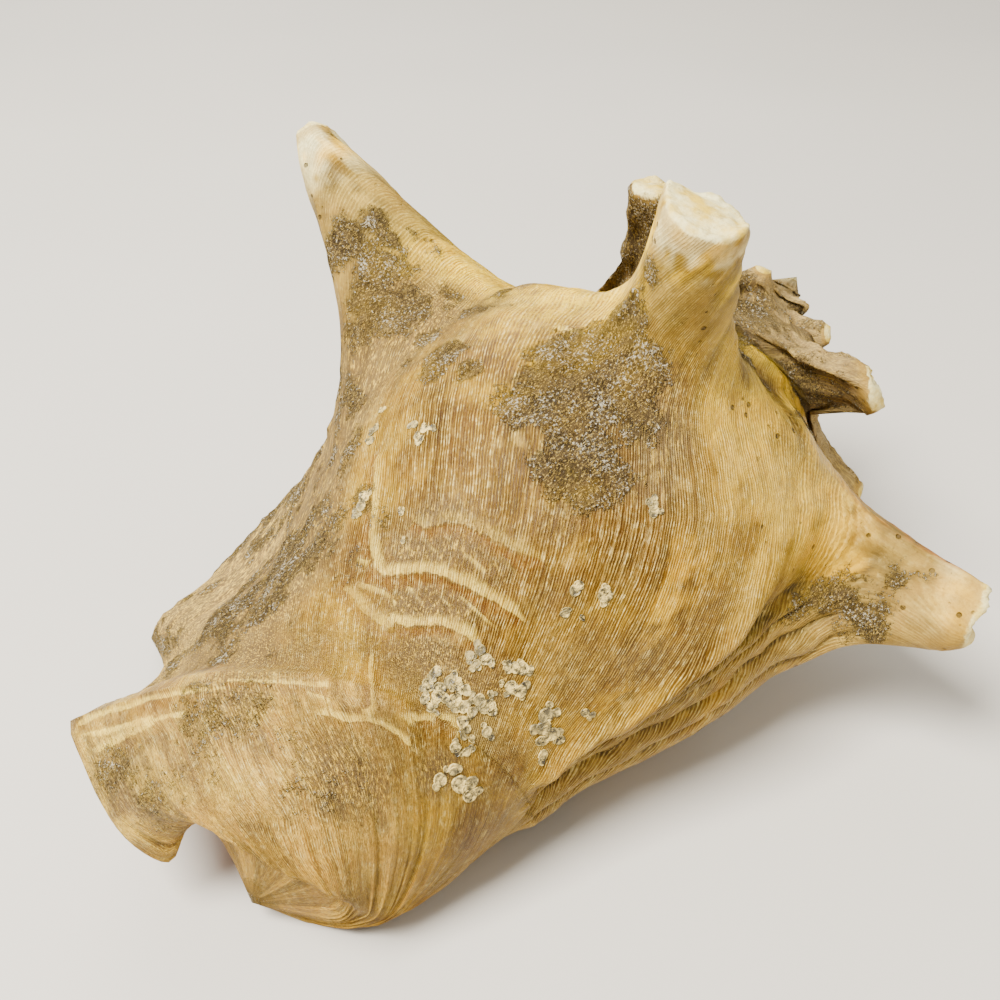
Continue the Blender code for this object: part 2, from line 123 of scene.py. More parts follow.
# Order of the points along a growth line.
SHOULDER_ROW, NEXT_SUTURE_ROW = 2, 3
FLANK_ROWS = (UPPER_FLANK, MIDDLE_FLANK, LOWER_FLANK, WAIST, LIP_NOTCH, CANAL_SIDE,
              CANAL_RIDGE, CANAL_FRONT, FASCIOLE, NOTCH, COLUMELLA)
RIDGE_ROW = NEXT_SUTURE_ROW + 1 + FLANK_ROWS.index(CANAL_RIDGE)
POLE_ROW = NEXT_SUTURE_ROW + len(FLANK_ROWS) + 1

# Wall of the shell.
WALL = 4.2
TIP_THINNING = 0.7
FLOOR_WALL = 2.5
FOOT_START = 13.5
EDGE_ROUNDNESS, EDGE_PALENESS = 0.3, 0.7

# Spines: growth angle, tip, shape, and how far the foot runs ahead, behind, towards
# the canal and towards the spire, as factors. A shape is a list of (distance on the
# whorl, distance from the spine's own line, height as a share of the spine).
TALL_CONE = ((0, 0, 1), (4.2, 3.8, 0.985), (11, 9, 0.78), (20, 16.5, 0.42), (29, 26, 0.14),
             (38, 38, 0))
COLUMN = ((0, 0, 0.985), (5.6, 7.0, 0.985), (7.0, 8.6, 1.0), (8.4, 9.4, 0.97), (14, 10.2, 0.62),
          (21, 12.2, 0.26), (28, 19, 0.07), (38, 38, 0))
CONE = ((0, 0, 0.985), (4.0, 4.3, 0.985), (5.4, 5.7, 0.998), (6.8, 6.6, 0.95), (12, 9.2, 0.66),
        (20, 14, 0.33), (28, 23, 0.12), (38, 38, 0))
KNOB = ((0, 0, 1), (4.0, 4.0, 0.93), (9, 7.5, 0.6), (16, 13, 0.2), (24, 24, 0))
CAP_SIZE = {TALL_CONE: 4.2, COLUMN: 7.2, CONE: 5.6, KNOB: 4.0}
SPINES = (
    (141, (140, 116, 141), TALL_CONE, (1.0, 0.42, 1.4, 0.38)),
    (73, (139, 93, 72.5), COLUMN, (1.0, 1.0, 1.15, 0.8)),
    (-10, (141.5, 87.5, -0.3), CONE, (0.8, 1.3, 1.45, 0.38)),
    (-72, (141, 57, -72), KNOB, (1.0, 1.0, 1.2, 0.9)),
)
SPIRE_SPINES = (
    (-138, (151, 44, -138), 0.9),
    (-205, (160, 44, -205), 0.75),
    (-263, (167, 62, -263), 0.9),
    (-338, (171.5, 49.5, -339), 0.8),
    (-395, (172, 50, -395), 0.6),
)
SPIRE_REACH = (1.0, 1.0, 1.0, 0.8)
SMALL_KNOB_STEP = 50.0
SMALL_KNOB_LENGTH = 0.4
SMALL_KNOB_LEAN = 0.06
SMALL_KNOB_SIZE = 0.02
SPINE_SPAN = 100.0

# Old growth edges from the spines to the canal: growth angle, width in degrees, height by
# the spine and height by the canal. The crest wanders off by its spread near the spine.
OLD_EDGES = {
    "ridge": (-19.0, 9.0, 3.6, 0.8),
    "furrow": (-4.0, 6.0, -1.8, -2.6),
    "crest": (11.0, 4.5, 1.8, 3.2),
    "cleft": (6.0, 4.4, -3.2, -4.6),
}
CREST_SPREAD = 7.0
CORD_HEIGHT, CORD_WIDTH = 1.8, 0.22
FOLD_STEP, FOLD_HEIGHT, FOLD_ROUNDNESS = 7.0, 1.7, 0.6

# Strip behind a thin edge on the near spine: growth angle, width, and the edge's height.
STRIP = (-12.0, 24.0)
STRIP_EDGE = 1.1

# Lean of the growth lines against the columns, from a height along the axis upwards.
LEAN, SPINE_LEAN = 0.6, 20.0
LEAN_START, LEAN_FLOOR, LEAN_BEND = 60.0, 22.0, 8.0

# Noises of the ribs: stretch along the growth line, size and seed.
RIB_NOISES = ((0.5, 3.1, 41), (0.8, 1.45, 42), (0.4, 9.0, 43))

# Growth angle of the spire's rear spine, and the values that mean far from a line, far
# from a broken tip, and the length given to one row.
REAR_SPINE = -263.0
FAR, NO_CAP, ROW_LENGTH = 9.0, 3.0, 12.0

# Material: step of the growth threads, and pits in a metre.
THREAD_STEP, PIT_SCALE = 0.70, 330.0

# Fineness of the mesh: columns in a degree over three spans, and rows in each interval.
COLUMN_SPANS = ((LAST_TURN, 0.5), (-30.0, 2.05), (168.0, 1.6), (LIP, 1.6))
GROWTH_LINE_STEPS = (7, 16, 12, 14, 13, 12, 6, 4, 3, 3, 7, 7, 5, 4, 3)
HOLLOW_STRIDE = 12
SPIRE_STRIDES = (2, 4, 6, 8)
FRINGE_ROWS = 9

# Raised pale lines on the last whorl: points, half width, height, share of pale colour,
# and share of the amber band beside it.
LINES = (
    (((-36.1, -20.3, 77.3), (-32.1, -24.9, 79.8), (-30.0, -29.6, 79.7), (-27.3, -37.2, 77.3),
      (-25.7, -40.2, 76.3)), 1.6, 0.25, 0.35, 0.9),
    (((-45.1, -20.2, 69.2), (-42.0, -24.4, 70.7), (-38.9, -28.5, 71.8), (-37.5, -32.1, 71.2),
      (-36.0, -34.6, 71.0), (-34.5, -38.0, 69.7), (-32.2, -42.8, 67.3)), 1.5, 0.5, 1.0, 1.0),
    (((-49.6, -27.6, 64.3), (-47.3, -30.8, 64.4), (-43.7, -34.1, 65.0), (-42.0, -36.5, 64.5),
      (-40.4, -39.7, 63.1)), 1.4, 0.5, 1.0, 1.0),
    (((-32.7, -0.8, 80.6), (-38.3, -7.3, 76.0), (-42.7, -11.8, 72.1), (-45.5, -17.7, 69.4),
      (-45.4, -20.5, 69.0)), 1.5, 0.55, 0.9, 0.8),
    (((-51.7, -16.5, 65.5), (-52.2, -22.9, 64.3), (-51.0, -27.5, 63.7)), 1.4, 0.4, 0.6, 0.5),
    (((-57.4, -29.8, 60.3), (-61.0, -34.6, 58.8), (-63.6, -38.9, 56.6), (-61.6, -42.5, 53.5),
      (-60.3, -45.0, 50.7)), 0.7, 0.4, 1.0, 0.3),
    (((-70.1, -32.5, 56.6), (-67.7, -36.0, 55.5), (-63.7, -39.3, 55.9), (-59.6, -42.6, 55.6),
      (-54.6, -44.8, 53.9), (-51.2, -46.6, 52.3), (-51.6, -48.2, 50.8)), 1.0, 0.4, 1.0, 0.5),
    (((-101.9, 11.9, 39.4), (-97.9, 7.3, 43.6), (-91.8, -0.1, 48.9), (-87.0, -6.0, 52.5),
      (-81.0, -13.6, 56.9), (-75.0, -21.9, 59.2), (-69.9, -27.9, 59.9), (-67.4, -29.3, 59.8)),
     0.9, 0.5, 1.0, 0.7),
    (((-101.4, 3.1, 39.9), (-96.1, -1.8, 44.6), (-91.6, -5.7, 48.1), (-88.1, -9.7, 50.5)),
     1.3, 0.5, 1.0, 0.3),
    (((-68.4, -30.8, 59.8), (-69.8, -32.5, 56.9), (-67.4, -36.6, 55.2), (-63.8, -39.3, 55.7),
      (-60.9, -43.7, 52.3)), 0.8, 0.4, 1.0, 0.4),
    (((8.6, -12.0, 101.2), (11.0, -21.4, 103.0), (14.3, -23.7, 106.8), (15.1, -26.7, 114.0)),
     0.8, 0.9, 0.9, 0.0),
)

# Patches: (x, y, z, radius, strength).
CRUST = (
    (-5.9, -23, 96.1, 7.3, 1), (4.3, -21.1, 99.5, 7, 1), (-4.9, -33.8, 92.5, 7.2, 1),
    (8.7, -31.1, 99.9, 7.3, 1), (-7.3, -40.8, 87.6, 5.9, 0.9), (13.5, -27.2, 108, 5.7, 1),
    (-13.1, -35.4, 88.6, 5.5, 0.8), (12.3, -32.4, 121.3, 3.1, 1), (6, -38.6, 92.6, 4, 0.9),
    (-11.9, -41.7, 85, 3.9, 0.7), (5.9, 49.5, 107, 3.4, 1), (1.5, -31, 96.5, 7, 1),
    (6.4, 43.9, 104.4, 3.3, 0.9), (-1.4, 39.5, 99.4, 6.2, 1), (-3.1, 31.1, 95.4, 6.4, 1),
    (-7.7, 37.8, 94.4, 4.2, 0.8), (-3.6, 51, 102.6, 4.8, 1), (-12.3, 36.2, 88.8, 4.7, 0.6),
    (-4.4, 18.3, 93.4, 3.2, 1), (-9.6, 4.6, 94.8, 4.3, 1), (-10.9, -5.3, 96, 2.9, 0.9),
    (-15.4, 2.7, 92.9, 3, 0.8), (12.7, 43.1, 105.4, 2.9, 1), (14.5, 35.9, 102.2, 2.4, 0.9),
    (15.6, 26.1, 98.4, 2.4, 0.9), (15.7, 15.5, 97.7, 2.3, 0.7), (-21.4, 27.4, 78.8, 3.7, 0.8),
    (-31.7, 10.4, 76.9, 3.5, 0.8), (-39.2, -2.7, 74.4, 2.9, 0.7), (-43.5, 1.1, 69, 4.2, 0.5),
    (2.2, -14.2, 99.7, 2.5, 0.6), (-0.8, -12.8, 99, 2.1, 0.6), (-40.2, -11, 74.5, 3.3, 0.4),
    (-48, -10.6, 67.8, 4.1, 0.4), (43.4, -72.9, 44.9, 5.4, 1), (46.8, -78.5, 45.1, 4, 1),
    (38.5, -69.6, 45.5, 4.1, 0.8), (31.9, -67.7, 45.1, 3.6, 0.6), (51.4, -80.5, 51.2, 4, 0.9),
    (53.4, -85.2, 52.6, 3.1, 0.9), (44.4, -78.7, 42.2, 2.7, 1), (-6.5, 52.5, 98, 4.5, 0.9),
)
BROWN = (
    (-102.4, -2.3, 37.8, 6, 1), (-100.6, -13.4, 37.5, 5.9, 0.8), (-86.5, -14.1, 50.8, 5.4, 1),
    (-81.7, -19.7, 53.3, 5, 0.8), (-93.1, -18.2, 44.8, 5.8, 0.6), (-77.3, -30.1, 51.8, 3.4, 0.5),
    (-81.1, -37.9, 44.6, 4.5, 0.6), (-76.7, -41.4, 44.2, 5.7, 0.7),
)
BLOOM_AND_SHADE = (
    (-36, -25.5, 75.8, 6, 1), (-40.4, -21.3, 73, 4.8, 0.9), (-32.8, -31, 76.2, 4.3, 0.9),
    (-42.7, -30.8, 67.4, 5.5, 1), (-45.8, -27.8, 66.7, 4, 0.9), (-39.4, -35.5, 67.3, 3.5, 0.8),
    (-48.3, -36.9, 60.4, 5.9, 1), (-47.5, -41.9, 56.9, 5.8, 0.9), (-43.4, -46.1, 54.5, 5.9, 0.7),
    (-52.6, -34.4, 60, 3.9, 0.9), (-30.2, -37, 74.7, 3.9, 0.5), (-18.5, -41.4, 81.2, 4.7, 0.4),
    (-13.6, -60.8, 54.2, 5.2, 0.4), (-24.6, -54.6, 56.8, 6, 0.3), (-56.9, -49.9, 44.8, 4.2, 1),
    (-67.4, -19.9, 58.9, 5.9, 0.6), (-75.4, -13.9, 56.9, 5.9, 0.6), (-72, -38.7, 49.6, 5.7, 0.6),
    # The last three patches, by the foot of the column spine, are painted shade.
    (-69.8, -44.8, 44.7, 5.7, 0.6), (-25.3, -47.7, 68.5, 3.9, 0.4), (9, -42.5, 90, 6.5, 0.9),
    (13, -40.5, 97, 5, 0.7), (2, -47, 84, 5, 0.6),
)
AMBER = (
    (-1.3, -49.2, 82, 5.6, 1), (-1.8, -43.8, 86.6, 4, 1), (5.4, -43.7, 88.1, 3.2, 0.8),
    (-25.7, -49.7, 64.9, 7.9, 0.6), (-21.1, -56.8, 56.1, 10, 0.7), (-32.4, -51.5, 54.1, 7.9, 0.7),
    (-56, -46.8, 52.1, 4.6, 1), (-44.2, -54.4, 41.3, 5.1, 1), (1.2, -62.7, 63, 6.1, 0.9),
    (15.1, -60.5, 69.8, 3.7, 0.7), (-18.1, -60.8, 39.8, 8.3, 0.5), (24.6, -66, 55.6, 4.7, 0.8),
    (46.4, -72.3, 50.2, 3.6, 0.8), (-65.2, -43.7, 48.7, 5.7, 0.7), (-71.7, -35.5, 52.2, 3.8, 0.6),
    (-2.7, -65.1, 50.3, 4.1, 0.8), (51.7, -36.5, 82.8, 4.6, 1), (35.7, -41.1, 93.7, 2.6, 0.8),
    (11.6, -38.6, 95, 3.7, 0.8), (6.6, -40.9, 91.1, 3.2, 1), (14, -41.6, 117.9, 3.8, 0.5),
)
CHALK = (
    (3.2, 70.7, 118.4, 4.4, 1), (0.1, 69.6, 113.3, 2, 1), (6.6, 68.1, 118.3, 5.4, 0.8),
    (1.5, -58.7, 70.8, 6, 0.5), (-3.7, -59.9, 66.7, 5.2, 0.8), (-9.2, -60, 62, 3.2, 0.8),
    (-17.2, -60.9, 45.2, 4.1, 0.6), (5.3, -63.4, 31.5, 5.7, 0.5), (38.2, -58.7, 67.7, 8.8, 0.5),
    (40.8, -63.9, 58.2, 6.7, 0.8), (45.7, -69.5, 53.2, 4.5, 0.8), (34.1, -51.6, 79.2, 5.6, 0.4),
    (10.9, -44.6, 134.1, 5.4, 1), (54, -92.4, 51.8, 5.2, 1), (70.3, -47.3, 81.6, 5.1, 1),
    (46.8, -4.2, 119.5, 5.4, 1),
)

# Small round spat grown on the shell: (x, y, z, radius).
SPAT = (
    (-40.2, -42.4, 60.7, 1.2), (-39.9, -44.1, 59, 1.2), (-42.2, -41.7, 60, 1),
    (-42, -43.2, 58.6, 1), (-49, -39.5, 58.3, 1.2), (-51.5, -40, 57, 1.2),
    (-49.9, -41.7, 56.2, 1.4), (-47.5, -41.9, 56.9, 1.2), (-46.8, -43.4, 55.9, 1.2),
    (-45.7, -44.6, 55, 1.2), (-50.2, -43.4, 54.9, 1.2), (-51.9, -42.9, 55.1, 1),
    (-48.5, -44.6, 54.1, 1.4), (-47.7, -46, 52.9, 1.4), (-46.6, -47.4, 51.7, 1.2),
    (-44.2, -47, 53, 1.4), (-53.8, -41.9, 55.7, 1), (-54.2, -44, 54.3, 1),
    (-43.7, -48.2, 51.6, 1.6), (-41.8, -47.5, 53.4, 0.8), (-49.5, -47.8, 51.2, 1.4),
    (-51.1, -49.1, 49.8, 1.2), (-49.8, -50.5, 48.1, 1), (-45.6, -50.6, 47.9, 1.2),
    (-53.1, -50, 48.4, 1.2), (-51.4, -51.2, 47, 1), (-37.2, -47, 57.4, 0.8),
    (-35.9, -47.9, 57, 1.2), (-34.6, -48.8, 56.8, 1.4), (-37.9, -49.1, 53.7, 1.4),
    (-36.6, -50.3, 52.6, 1.4), (-39.1, -47.7, 54.9, 0.6), (-32.9, -54.3, 46.6, 1.8),
    (-33.9, -54.9, 44, 1.8), (-32.5, -55.8, 41.7, 1.6), (-35.2, -55.2, 41.1, 1.2),
    (-35.3, -56, 37.9, 1.2), (-31.1, -56.5, 39.8, 1.2), (-25.4, -57.7, 44.6, 1),
    (-24.1, -58.4, 43.6, 0.8), (-21.5, -49.3, 70, 1.2), (-17, -53.2, 68.6, 1.6),
    (-24.6, -49.9, 65.9, 1), (-22, -52.1, 65.1, 0.6), (-57.3, -50.6, 42.9, 1.5),
    (-54.2, -52.5, 40.6, 1.9), (-52.7, -53.7, 37.6, 1.6), (-54.3, -51.2, 44, 1.4),
    (-1.4, -49.9, 81.2, 1.2), (-2, -50.9, 80.1, 1.2), (-25.2, -4.4, 88, 1), (-25.2, -7.7, 88.3, 1),
    (-27, -8.3, 86.9, 1.2), (-24.1, -9.4, 89.2, 0.8), (-38.2, -3.3, 75.5, 1.3),
    (-39.9, -3.6, 73.9, 1.3), (-41.6, -3.9, 72.3, 1), (-37.4, -3.2, 76.4, 0.8),
    (-37.2, -14.8, 77.2, 0.8), (-40.2, -19.1, 73.7, 0.6), (-27.9, 6.5, 82.9, 1.1),
    (-30, 5.6, 81.2, 1.1), (-24.5, 9, 84.9, 0.9),
)


# The renderer's view softens colours: linear colours are mixed, put on a scale of
# brightness and bent along a curve. Steps of that view, so that tone() can undo it.
VIEW_MIX = np.array(((0.54481, 0.37380, 0.08138), (0.14042, 0.75411, 0.10540),
                     (0.08882, 0.17886, 0.73232)))
VIEW_OUT = np.array(((1.12710, -0.11061, -0.01649), (-0.14133, 1.15782, -0.01649),
                     (-0.14133, -0.11061, 1.25194)))
WIDE = np.array(((0.6274, 0.3293, 0.0433), (0.0691, 0.9195, 0.0113), (0.0164, 0.0880, 0.8956)))
VIEW_CURVE = (15.5, -40.14, 31.96, -6.868, 0.4298, 0.1191, -0.00232)
VIEW_STOPS = (-12.47393, 16.5)
STUDIO_LIGHT = 2.7
DARKEST, PALEST = 0.004, 0.9


def tone(red, green, blue):
    """Surface colour that shows as this sRGB colour, from 0 to 255, in the studio light."""
    value = np.array((red, green, blue)) / 255.0
    linear = np.where(value <= 0.04045, value / 12.92, ((value + 0.055) / 1.055) ** 2.4)
    bent = np.linalg.inv(VIEW_OUT) @ (WIDE @ linear) ** (1 / 2.2)
    steps = np.linspace(0.1, 0.95, 400)
    stops = np.interp(bent, np.polyval(VIEW_CURVE, steps), steps)
    light = 2.0 ** (VIEW_STOPS[0] + VIEW_STOPS[1] * stops)
    return np.clip(np.linalg.inv(VIEW_MIX) @ light / STUDIO_LIGHT, DARKEST, PALEST)


# Colours by name, given as they show, and four that are too bright for that.
COLOURS = {name: tone(*shown) for name, shown in {
    "gold": (178, 142, 70), "dark amber": (160, 118, 42), "light gold": (208, 180, 102),
    "ochre": (146, 110, 56), "cream": (222, 200, 146), "beige": (196, 172, 122),
    "mauve": (168, 138, 92), "fuzz": (122, 98, 70), "fan cream": (226, 206, 150),
    "top yellow": (240, 216, 140), "spine tan": (198, 176, 124), "spine brown": (146, 122, 80),
    "margin tan": (182, 158, 114), "canal tan": (220, 198, 150), "canal brown": (160, 132, 96),
    "canal cream": (234, 216, 172), "fasciole tan": (212, 184, 132), "lip tan": (222, 206, 168),
    "low beige": (184, 162, 118), "under tan": (206, 184, 136), "fold trough shade": (108, 86, 56),
    "cleft shade brown": (84, 66, 44), "strip peach": (214, 144, 76), "chalk": (232, 210, 150),
    "crust brown": (96, 74, 50), "spire grey": (214, 198, 166), "rear brown": (104, 80, 56),
    "fringe brown": (150, 126, 96), "peach": (222, 160, 96), "pink": (240, 202, 168),
    "band amber": (176, 124, 36), "bloom brown": (152, 126, 92), "bead": (228, 210, 164),
    "tip cream": (226, 208, 152), "tip tan": (200, 176, 120), "rim tan": (206, 178, 120),
    "crust dark": (66, 50, 36), "crust light": (146, 124, 94), "needle": (226, 210, 172),
    "pit brown": (92, 66, 36), "spat dark": (112, 98, 72), "spat light": (226, 214, 182),
    "spat grey": (170, 156, 124), "floor dark": (214, 211, 206), "floor light": (220, 217, 212),
}.items()}
WHITE = np.array((0.88, 0.78, 0.38))
COLOURS.update({"white": WHITE, "straw": np.array((0.86, 0.56, 0.10)),
                "highlight ivory": np.array((0.90, 0.71, 0.25)), "lemon": np.array((0.90, 0.65, 0.10)),
                "speck": np.array((0.74, 0.66, 0.46))})


def hermite(keys, values, at):
    """Smooth curve through values at keys, for an array of places."""
    keys = np.asarray(keys, float)
    values = np.asarray(values, float)
    slope = np.gradient(values, keys, axis=0)
    index = np.clip(np.searchsorted(keys, at, side="right") - 1, 0, len(keys) - 2)
    step = (keys[index + 1] - keys[index])
    part = (at - keys[index]) / step
    step = step[:, None]
    part = part[:, None]
    low, high = values[index], values[index + 1]
    low_slope, high_slope = slope[index] * step, slope[index + 1] * step
    square, cube = part ** 2, part ** 3
    return ((2 * cube - 3 * square + 1) * low + (cube - 2 * square + part) * low_slope
            + (3 * square - 2 * cube) * high + (cube - square) * high_slope)


def smoothstep(low, high, value):
    part = np.clip((value - low) / (high - low), 0.0, 1.0)
    return part * part * (3 - 2 * part)


def between(value, start, full, full_end, end):
    """One from full to full_end, and down to zero at start and end."""
    return smoothstep(start, full, value) * smoothstep(end, full_end, value)


def bell(value, middle, width):
    return np.exp(-((value - middle) / width) ** 2)


def growth(angle):
    return GROWTH ** (np.asarray(angle, float) / 360.0)


def place(point):
    """Place of points given along, from and around the axis."""
    point = np.asarray(point, float)
    turn = np.radians(point[..., 2])
    out = np.cos(turn)[..., None] * SIDEWARD + np.sin(turn)[..., None] * UPWARD
    return COLUMELLA_END + point[..., 0:1] * AXIS + point[..., 1:2] * out


def shoulder(angle):
    drop = SHOULDER_DROP * growth(angle)
    return np.stack((AXIS_LENGTH - drop, SHOULDER_RADIUS * growth(angle), angle), -1)


def next_suture(angle):
    drop = NEXT_SUTURE_DROP * SHOULDER_DROP * growth(angle)
    radius = NEXT_SUTURE_RADIUS * SHOULDER_RADIUS * growth(angle)
    return np.stack((AXIS_LENGTH - drop, radius, angle), -1)


def suture(angle):
    before = next_suture(np.asarray(angle, float) - 360.0)
    before[..., 2] += 360.0
    return before


def growth_line(angle):
    """Points of the growth lines at an array of angles: (angles, rows, 3)."""
    angle = np.asarray(angle, float)
    flare = np.clip((angle - FLARE_START) / (LIP - FLARE_START), 0.0, None) ** 1.8
    lip = np.array([LIP])

    def bent(law, at_lip):
        return law(angle) + flare[:, None] * (np.asarray(at_lip, float) - law(lip)[0])

    first = suture(angle)
    top = bent(shoulder, SHOULDER_AT_LIP)
    middle = 0.5 * (first + top)
    middle[:, 1] *= 0.965
    ramp = middle + flare[:, None] * (np.asarray(RAMP_AT_LIP, float)
                                      - 0.5 * (suture(lip)[0] + np.asarray(SHOULDER_AT_LIP, float)))
    under = bent(next_suture, NEXT_SUTURE_AT_LIP)
    rows = [first, ramp, top, under]
    inside = np.clip(angle, KEYS[0], KEYS[-1])
    for row in FLANK_ROWS:
        point = hermite(KEYS, row, inside)
        scale = np.where(angle < inside, growth(angle - inside), 1.0)
        point[:, 0] = AXIS_LENGTH - (AXIS_LENGTH - point[:, 0]) * scale
        point[:, 1] *= scale
        point[:, 2] += angle - inside
        rows.append(point)
    foot = hermite([key for key in KEYS if key <= LAST_TURN], PILLAR_FOOT,
                   np.clip(angle, KEYS[0], LAST_TURN))
    foot[angle > LAST_TURN] = POLE
    rows.append(foot)
    return np.stack(rows, 1)


def whorl(angle, row):
    """Bare whorl surface, without spines: places at the grid of angles and rows."""
    line = place(growth_line(angle))
    keys = np.arange(line.shape[1])
    flat = hermite(keys, line.transpose(1, 0, 2).reshape(len(keys), -1), np.asarray(row, float))
    return flat.reshape(len(row), len(angle), 3).transpose(1, 0, 2)


def spine_list():
    """Every spine as (growth angle, tip, shape, size, reaches)."""
    spines = [(angle, tip, shape, 1.0, reach) for angle, tip, shape, reach in SPINES]
    spines += [(angle, tip, CONE, size, SPIRE_REACH) for angle, tip, size in SPIRE_SPINES]
    angle = SPIRE_SPINES[-1][0] - SMALL_KNOB_STEP
    while angle > LAST_TURN - 360 * SPIRE_TURNS + 300:
        along, radius, turn = shoulder(np.array([float(angle)]))[0]
        tip = (along + SMALL_KNOB_LEAN * radius, radius * (1 + SMALL_KNOB_LENGTH), turn)
        spines.append((angle, tip, KNOB, SMALL_KNOB_SIZE * radius, SPIRE_REACH))
        angle -= SMALL_KNOB_STEP
    return spines


def add_spines(places, angle):
    """Draws the surface out to the spines near it.

    Also says how high on a spine each point is, and how far it is from the broken tip,
    as a share of the tip's own size.
    """
    result = places.copy()
    climb = np.zeros(places.shape[:2])
    cap = np.full(places.shape[:2], NO_CAP)
    for at, tip, shape, size, (ahead, behind, down, up) in spine_list():
        near = np.abs(angle - at) < SPINE_SPAN
        if not near.any():
            continue
        section = whorl(np.array([at - 2.0, at, at + 2.0]),
                        np.array([SHOULDER_ROW - 0.1, SHOULDER_ROW]))
        foot = section[1, 1]
        along = section[2, 1] - section[0, 1]
        along = along / np.linalg.norm(along)
        outward = np.cross(along, AXIS)
        outward = outward / np.linalg.norm(outward)
        offset = places[near] - foot
        run = offset @ along
        fore = -offset @ AXIS
        sink = offset @ outward
        run_part = run / np.where(run > 0, ahead, behind)
        fore_part = fore / np.where(fore > 0, down, up)
        distance = np.sqrt(run_part ** 2 + fore_part ** 2 + (0.5 * sink) ** 2) / size
        table = np.asarray(shape, float)
        inside = distance < table[-1, 0]
        profile = hermite(table[:, 0], table[:, 1:], distance[inside])
        factor = profile[:, 0] / np.maximum(distance[inside], 1e-6)
        height = np.clip(profile[:, 1], 0, 1)
        rise = place(np.array(tip, float)) - foot
        block = result[near]
        block[inside] = foot + offset[inside] * factor[:, None] + rise * height[:, None]
        result[near] = block
        share = climb[near]
        share[inside] = np.maximum(share[inside], height)
        climb[near] = share
        cap[near] = np.minimum(cap[near], distance / CAP_SIZE[shape])
    return result, climb, cap


def surface_normal(places):
    """Outward normals of a grid of places."""
    normal = np.cross(np.gradient(places, axis=0), np.gradient(places, axis=1))
    size = np.linalg.norm(normal, axis=2, keepdims=True)
    return normal / np.maximum(size, 1e-9)


def lattice_noise(points, size, seed):
    """Smooth random values from 0 to 1 over a repeating lattice of the given cell size."""
    table = np.random.default_rng(seed).random((32, 32, 32))
    scaled = np.asarray(points, float) / size
    cell = np.floor(scaled).astype(int)
    part = scaled - cell
    part = part * part * (3 - 2 * part)
    total = 0.0
    for i in (0, 1):
        for j in (0, 1):
            for k in (0, 1):
                weight = (np.where(i, part[..., 0], 1 - part[..., 0])
                          * np.where(j, part[..., 1], 1 - part[..., 1])
                          * np.where(k, part[..., 2], 1 - part[..., 2]))
                corner = (cell + (i, j, k)) % 32
                total = total + weight * table[corner[..., 0], corner[..., 1], corner[..., 2]]
    return total


def rough_noise(points, size, seed, octaves=3):
    """Sum of finer and finer noise, around zero."""
    total = 0.0
    strength = 1.0
    for octave in range(octaves):
        total = total + strength * (lattice_noise(points, size / 2 ** octave, seed + octave) - 0.5)
        strength *= 0.55
    return total


def line_gap(points, normal, line):
    """Distance of points from a chain of places, below zero on its left side."""
    best = np.full(points.shape[:-1], 1e9)
    side = np.zeros(points.shape[:-1])
    for start, end in zip(np.array(line[:-1]), np.array(line[1:])):
        way = end - start
        part = np.clip(((points - start) @ way) / (way @ way), 0, 1)
        away = points - start - part[..., None] * way
        gap = np.linalg.norm(away, axis=-1)
        nearer = gap < best
        best = np.where(nearer, gap, best)
        side = np.where(nearer, np.sign((np.cross(way, normal) * away).sum(-1)), side)
    return best * np.where(side < 0, -1.0, 1.0)


def patch_mask(points, patches, edge_noise):
    """Soft mask of round patches with a ragged edge."""
    mask = np.zeros(points.shape[:-1])
    for x, y, z, radius, strength in patches:
        gap = np.linalg.norm(points - np.array((x, y, z)), axis=-1) / (radius * 1.15)
        mask = np.maximum(mask, strength * smoothstep(1.55, 0.35, gap + edge_noise))
    return mask


def blend(base, colour, mask):
    return base + (colour - base) * np.clip(mask, 0, 1)[..., None]


class Surface:
    """Collects points, what is known at each point, and faces of the closed surface."""

    FIELDS = ("red", "green", "blue", "across", "along", "thread", "crust", "bloom_and_shade", "gloss",
              "cap", "side", "pale", "band", "pit")

    def __init__(self):
        self.points = []
        self.fields = []
        self.count = 0
        self.faces = []

    def add(self, places, fields):
        places = np.asarray(places, float).reshape(-1, 3)
        self.points.append(places)
        columns = [np.ravel(fields[name]) for name in self.FIELDS]
        self.fields.append(np.stack(np.broadcast_arrays(*columns, np.empty(len(places)))[:-1], 1))
        ids = self.count + np.arange(len(places))
        self.count += len(places)
        return ids

    def face(self, *corners):
        kept = []
        for corner in corners:
            if corner not in kept:
                kept.append(int(corner))
        if len(kept) > 2:
            self.faces.append(kept)

    def grid(self, ids):
        for i in range(ids.shape[0] - 1):
            for j in range(ids.shape[1] - 1):
                self.face(ids[i, j], ids[i, j + 1], ids[i + 1, j + 1], ids[i + 1, j])

    def zip(self, left, right):
        """Fills between two chains that may differ in length."""
        i = j = 0
        while i < len(left) - 1 or j < len(right) - 1:
            forward_left = (i + 1) / (len(left) - 1) if i < len(left) - 1 else 2.0
            forward_right = (j + 1) / (len(right) - 1) if j < len(right) - 1 else 2.0
            if forward_left <= forward_right:
                self.face(left[i], left[i + 1], right[j])
                i += 1
            else:
                self.face(left[i], right[j + 1], right[j])
                j += 1


def row_samples(steps):
    samples = [0.0]
    for start, count in enumerate(steps):
        samples += [start + (step + 1) / count for step in range(count)]
    return np.array(samples)


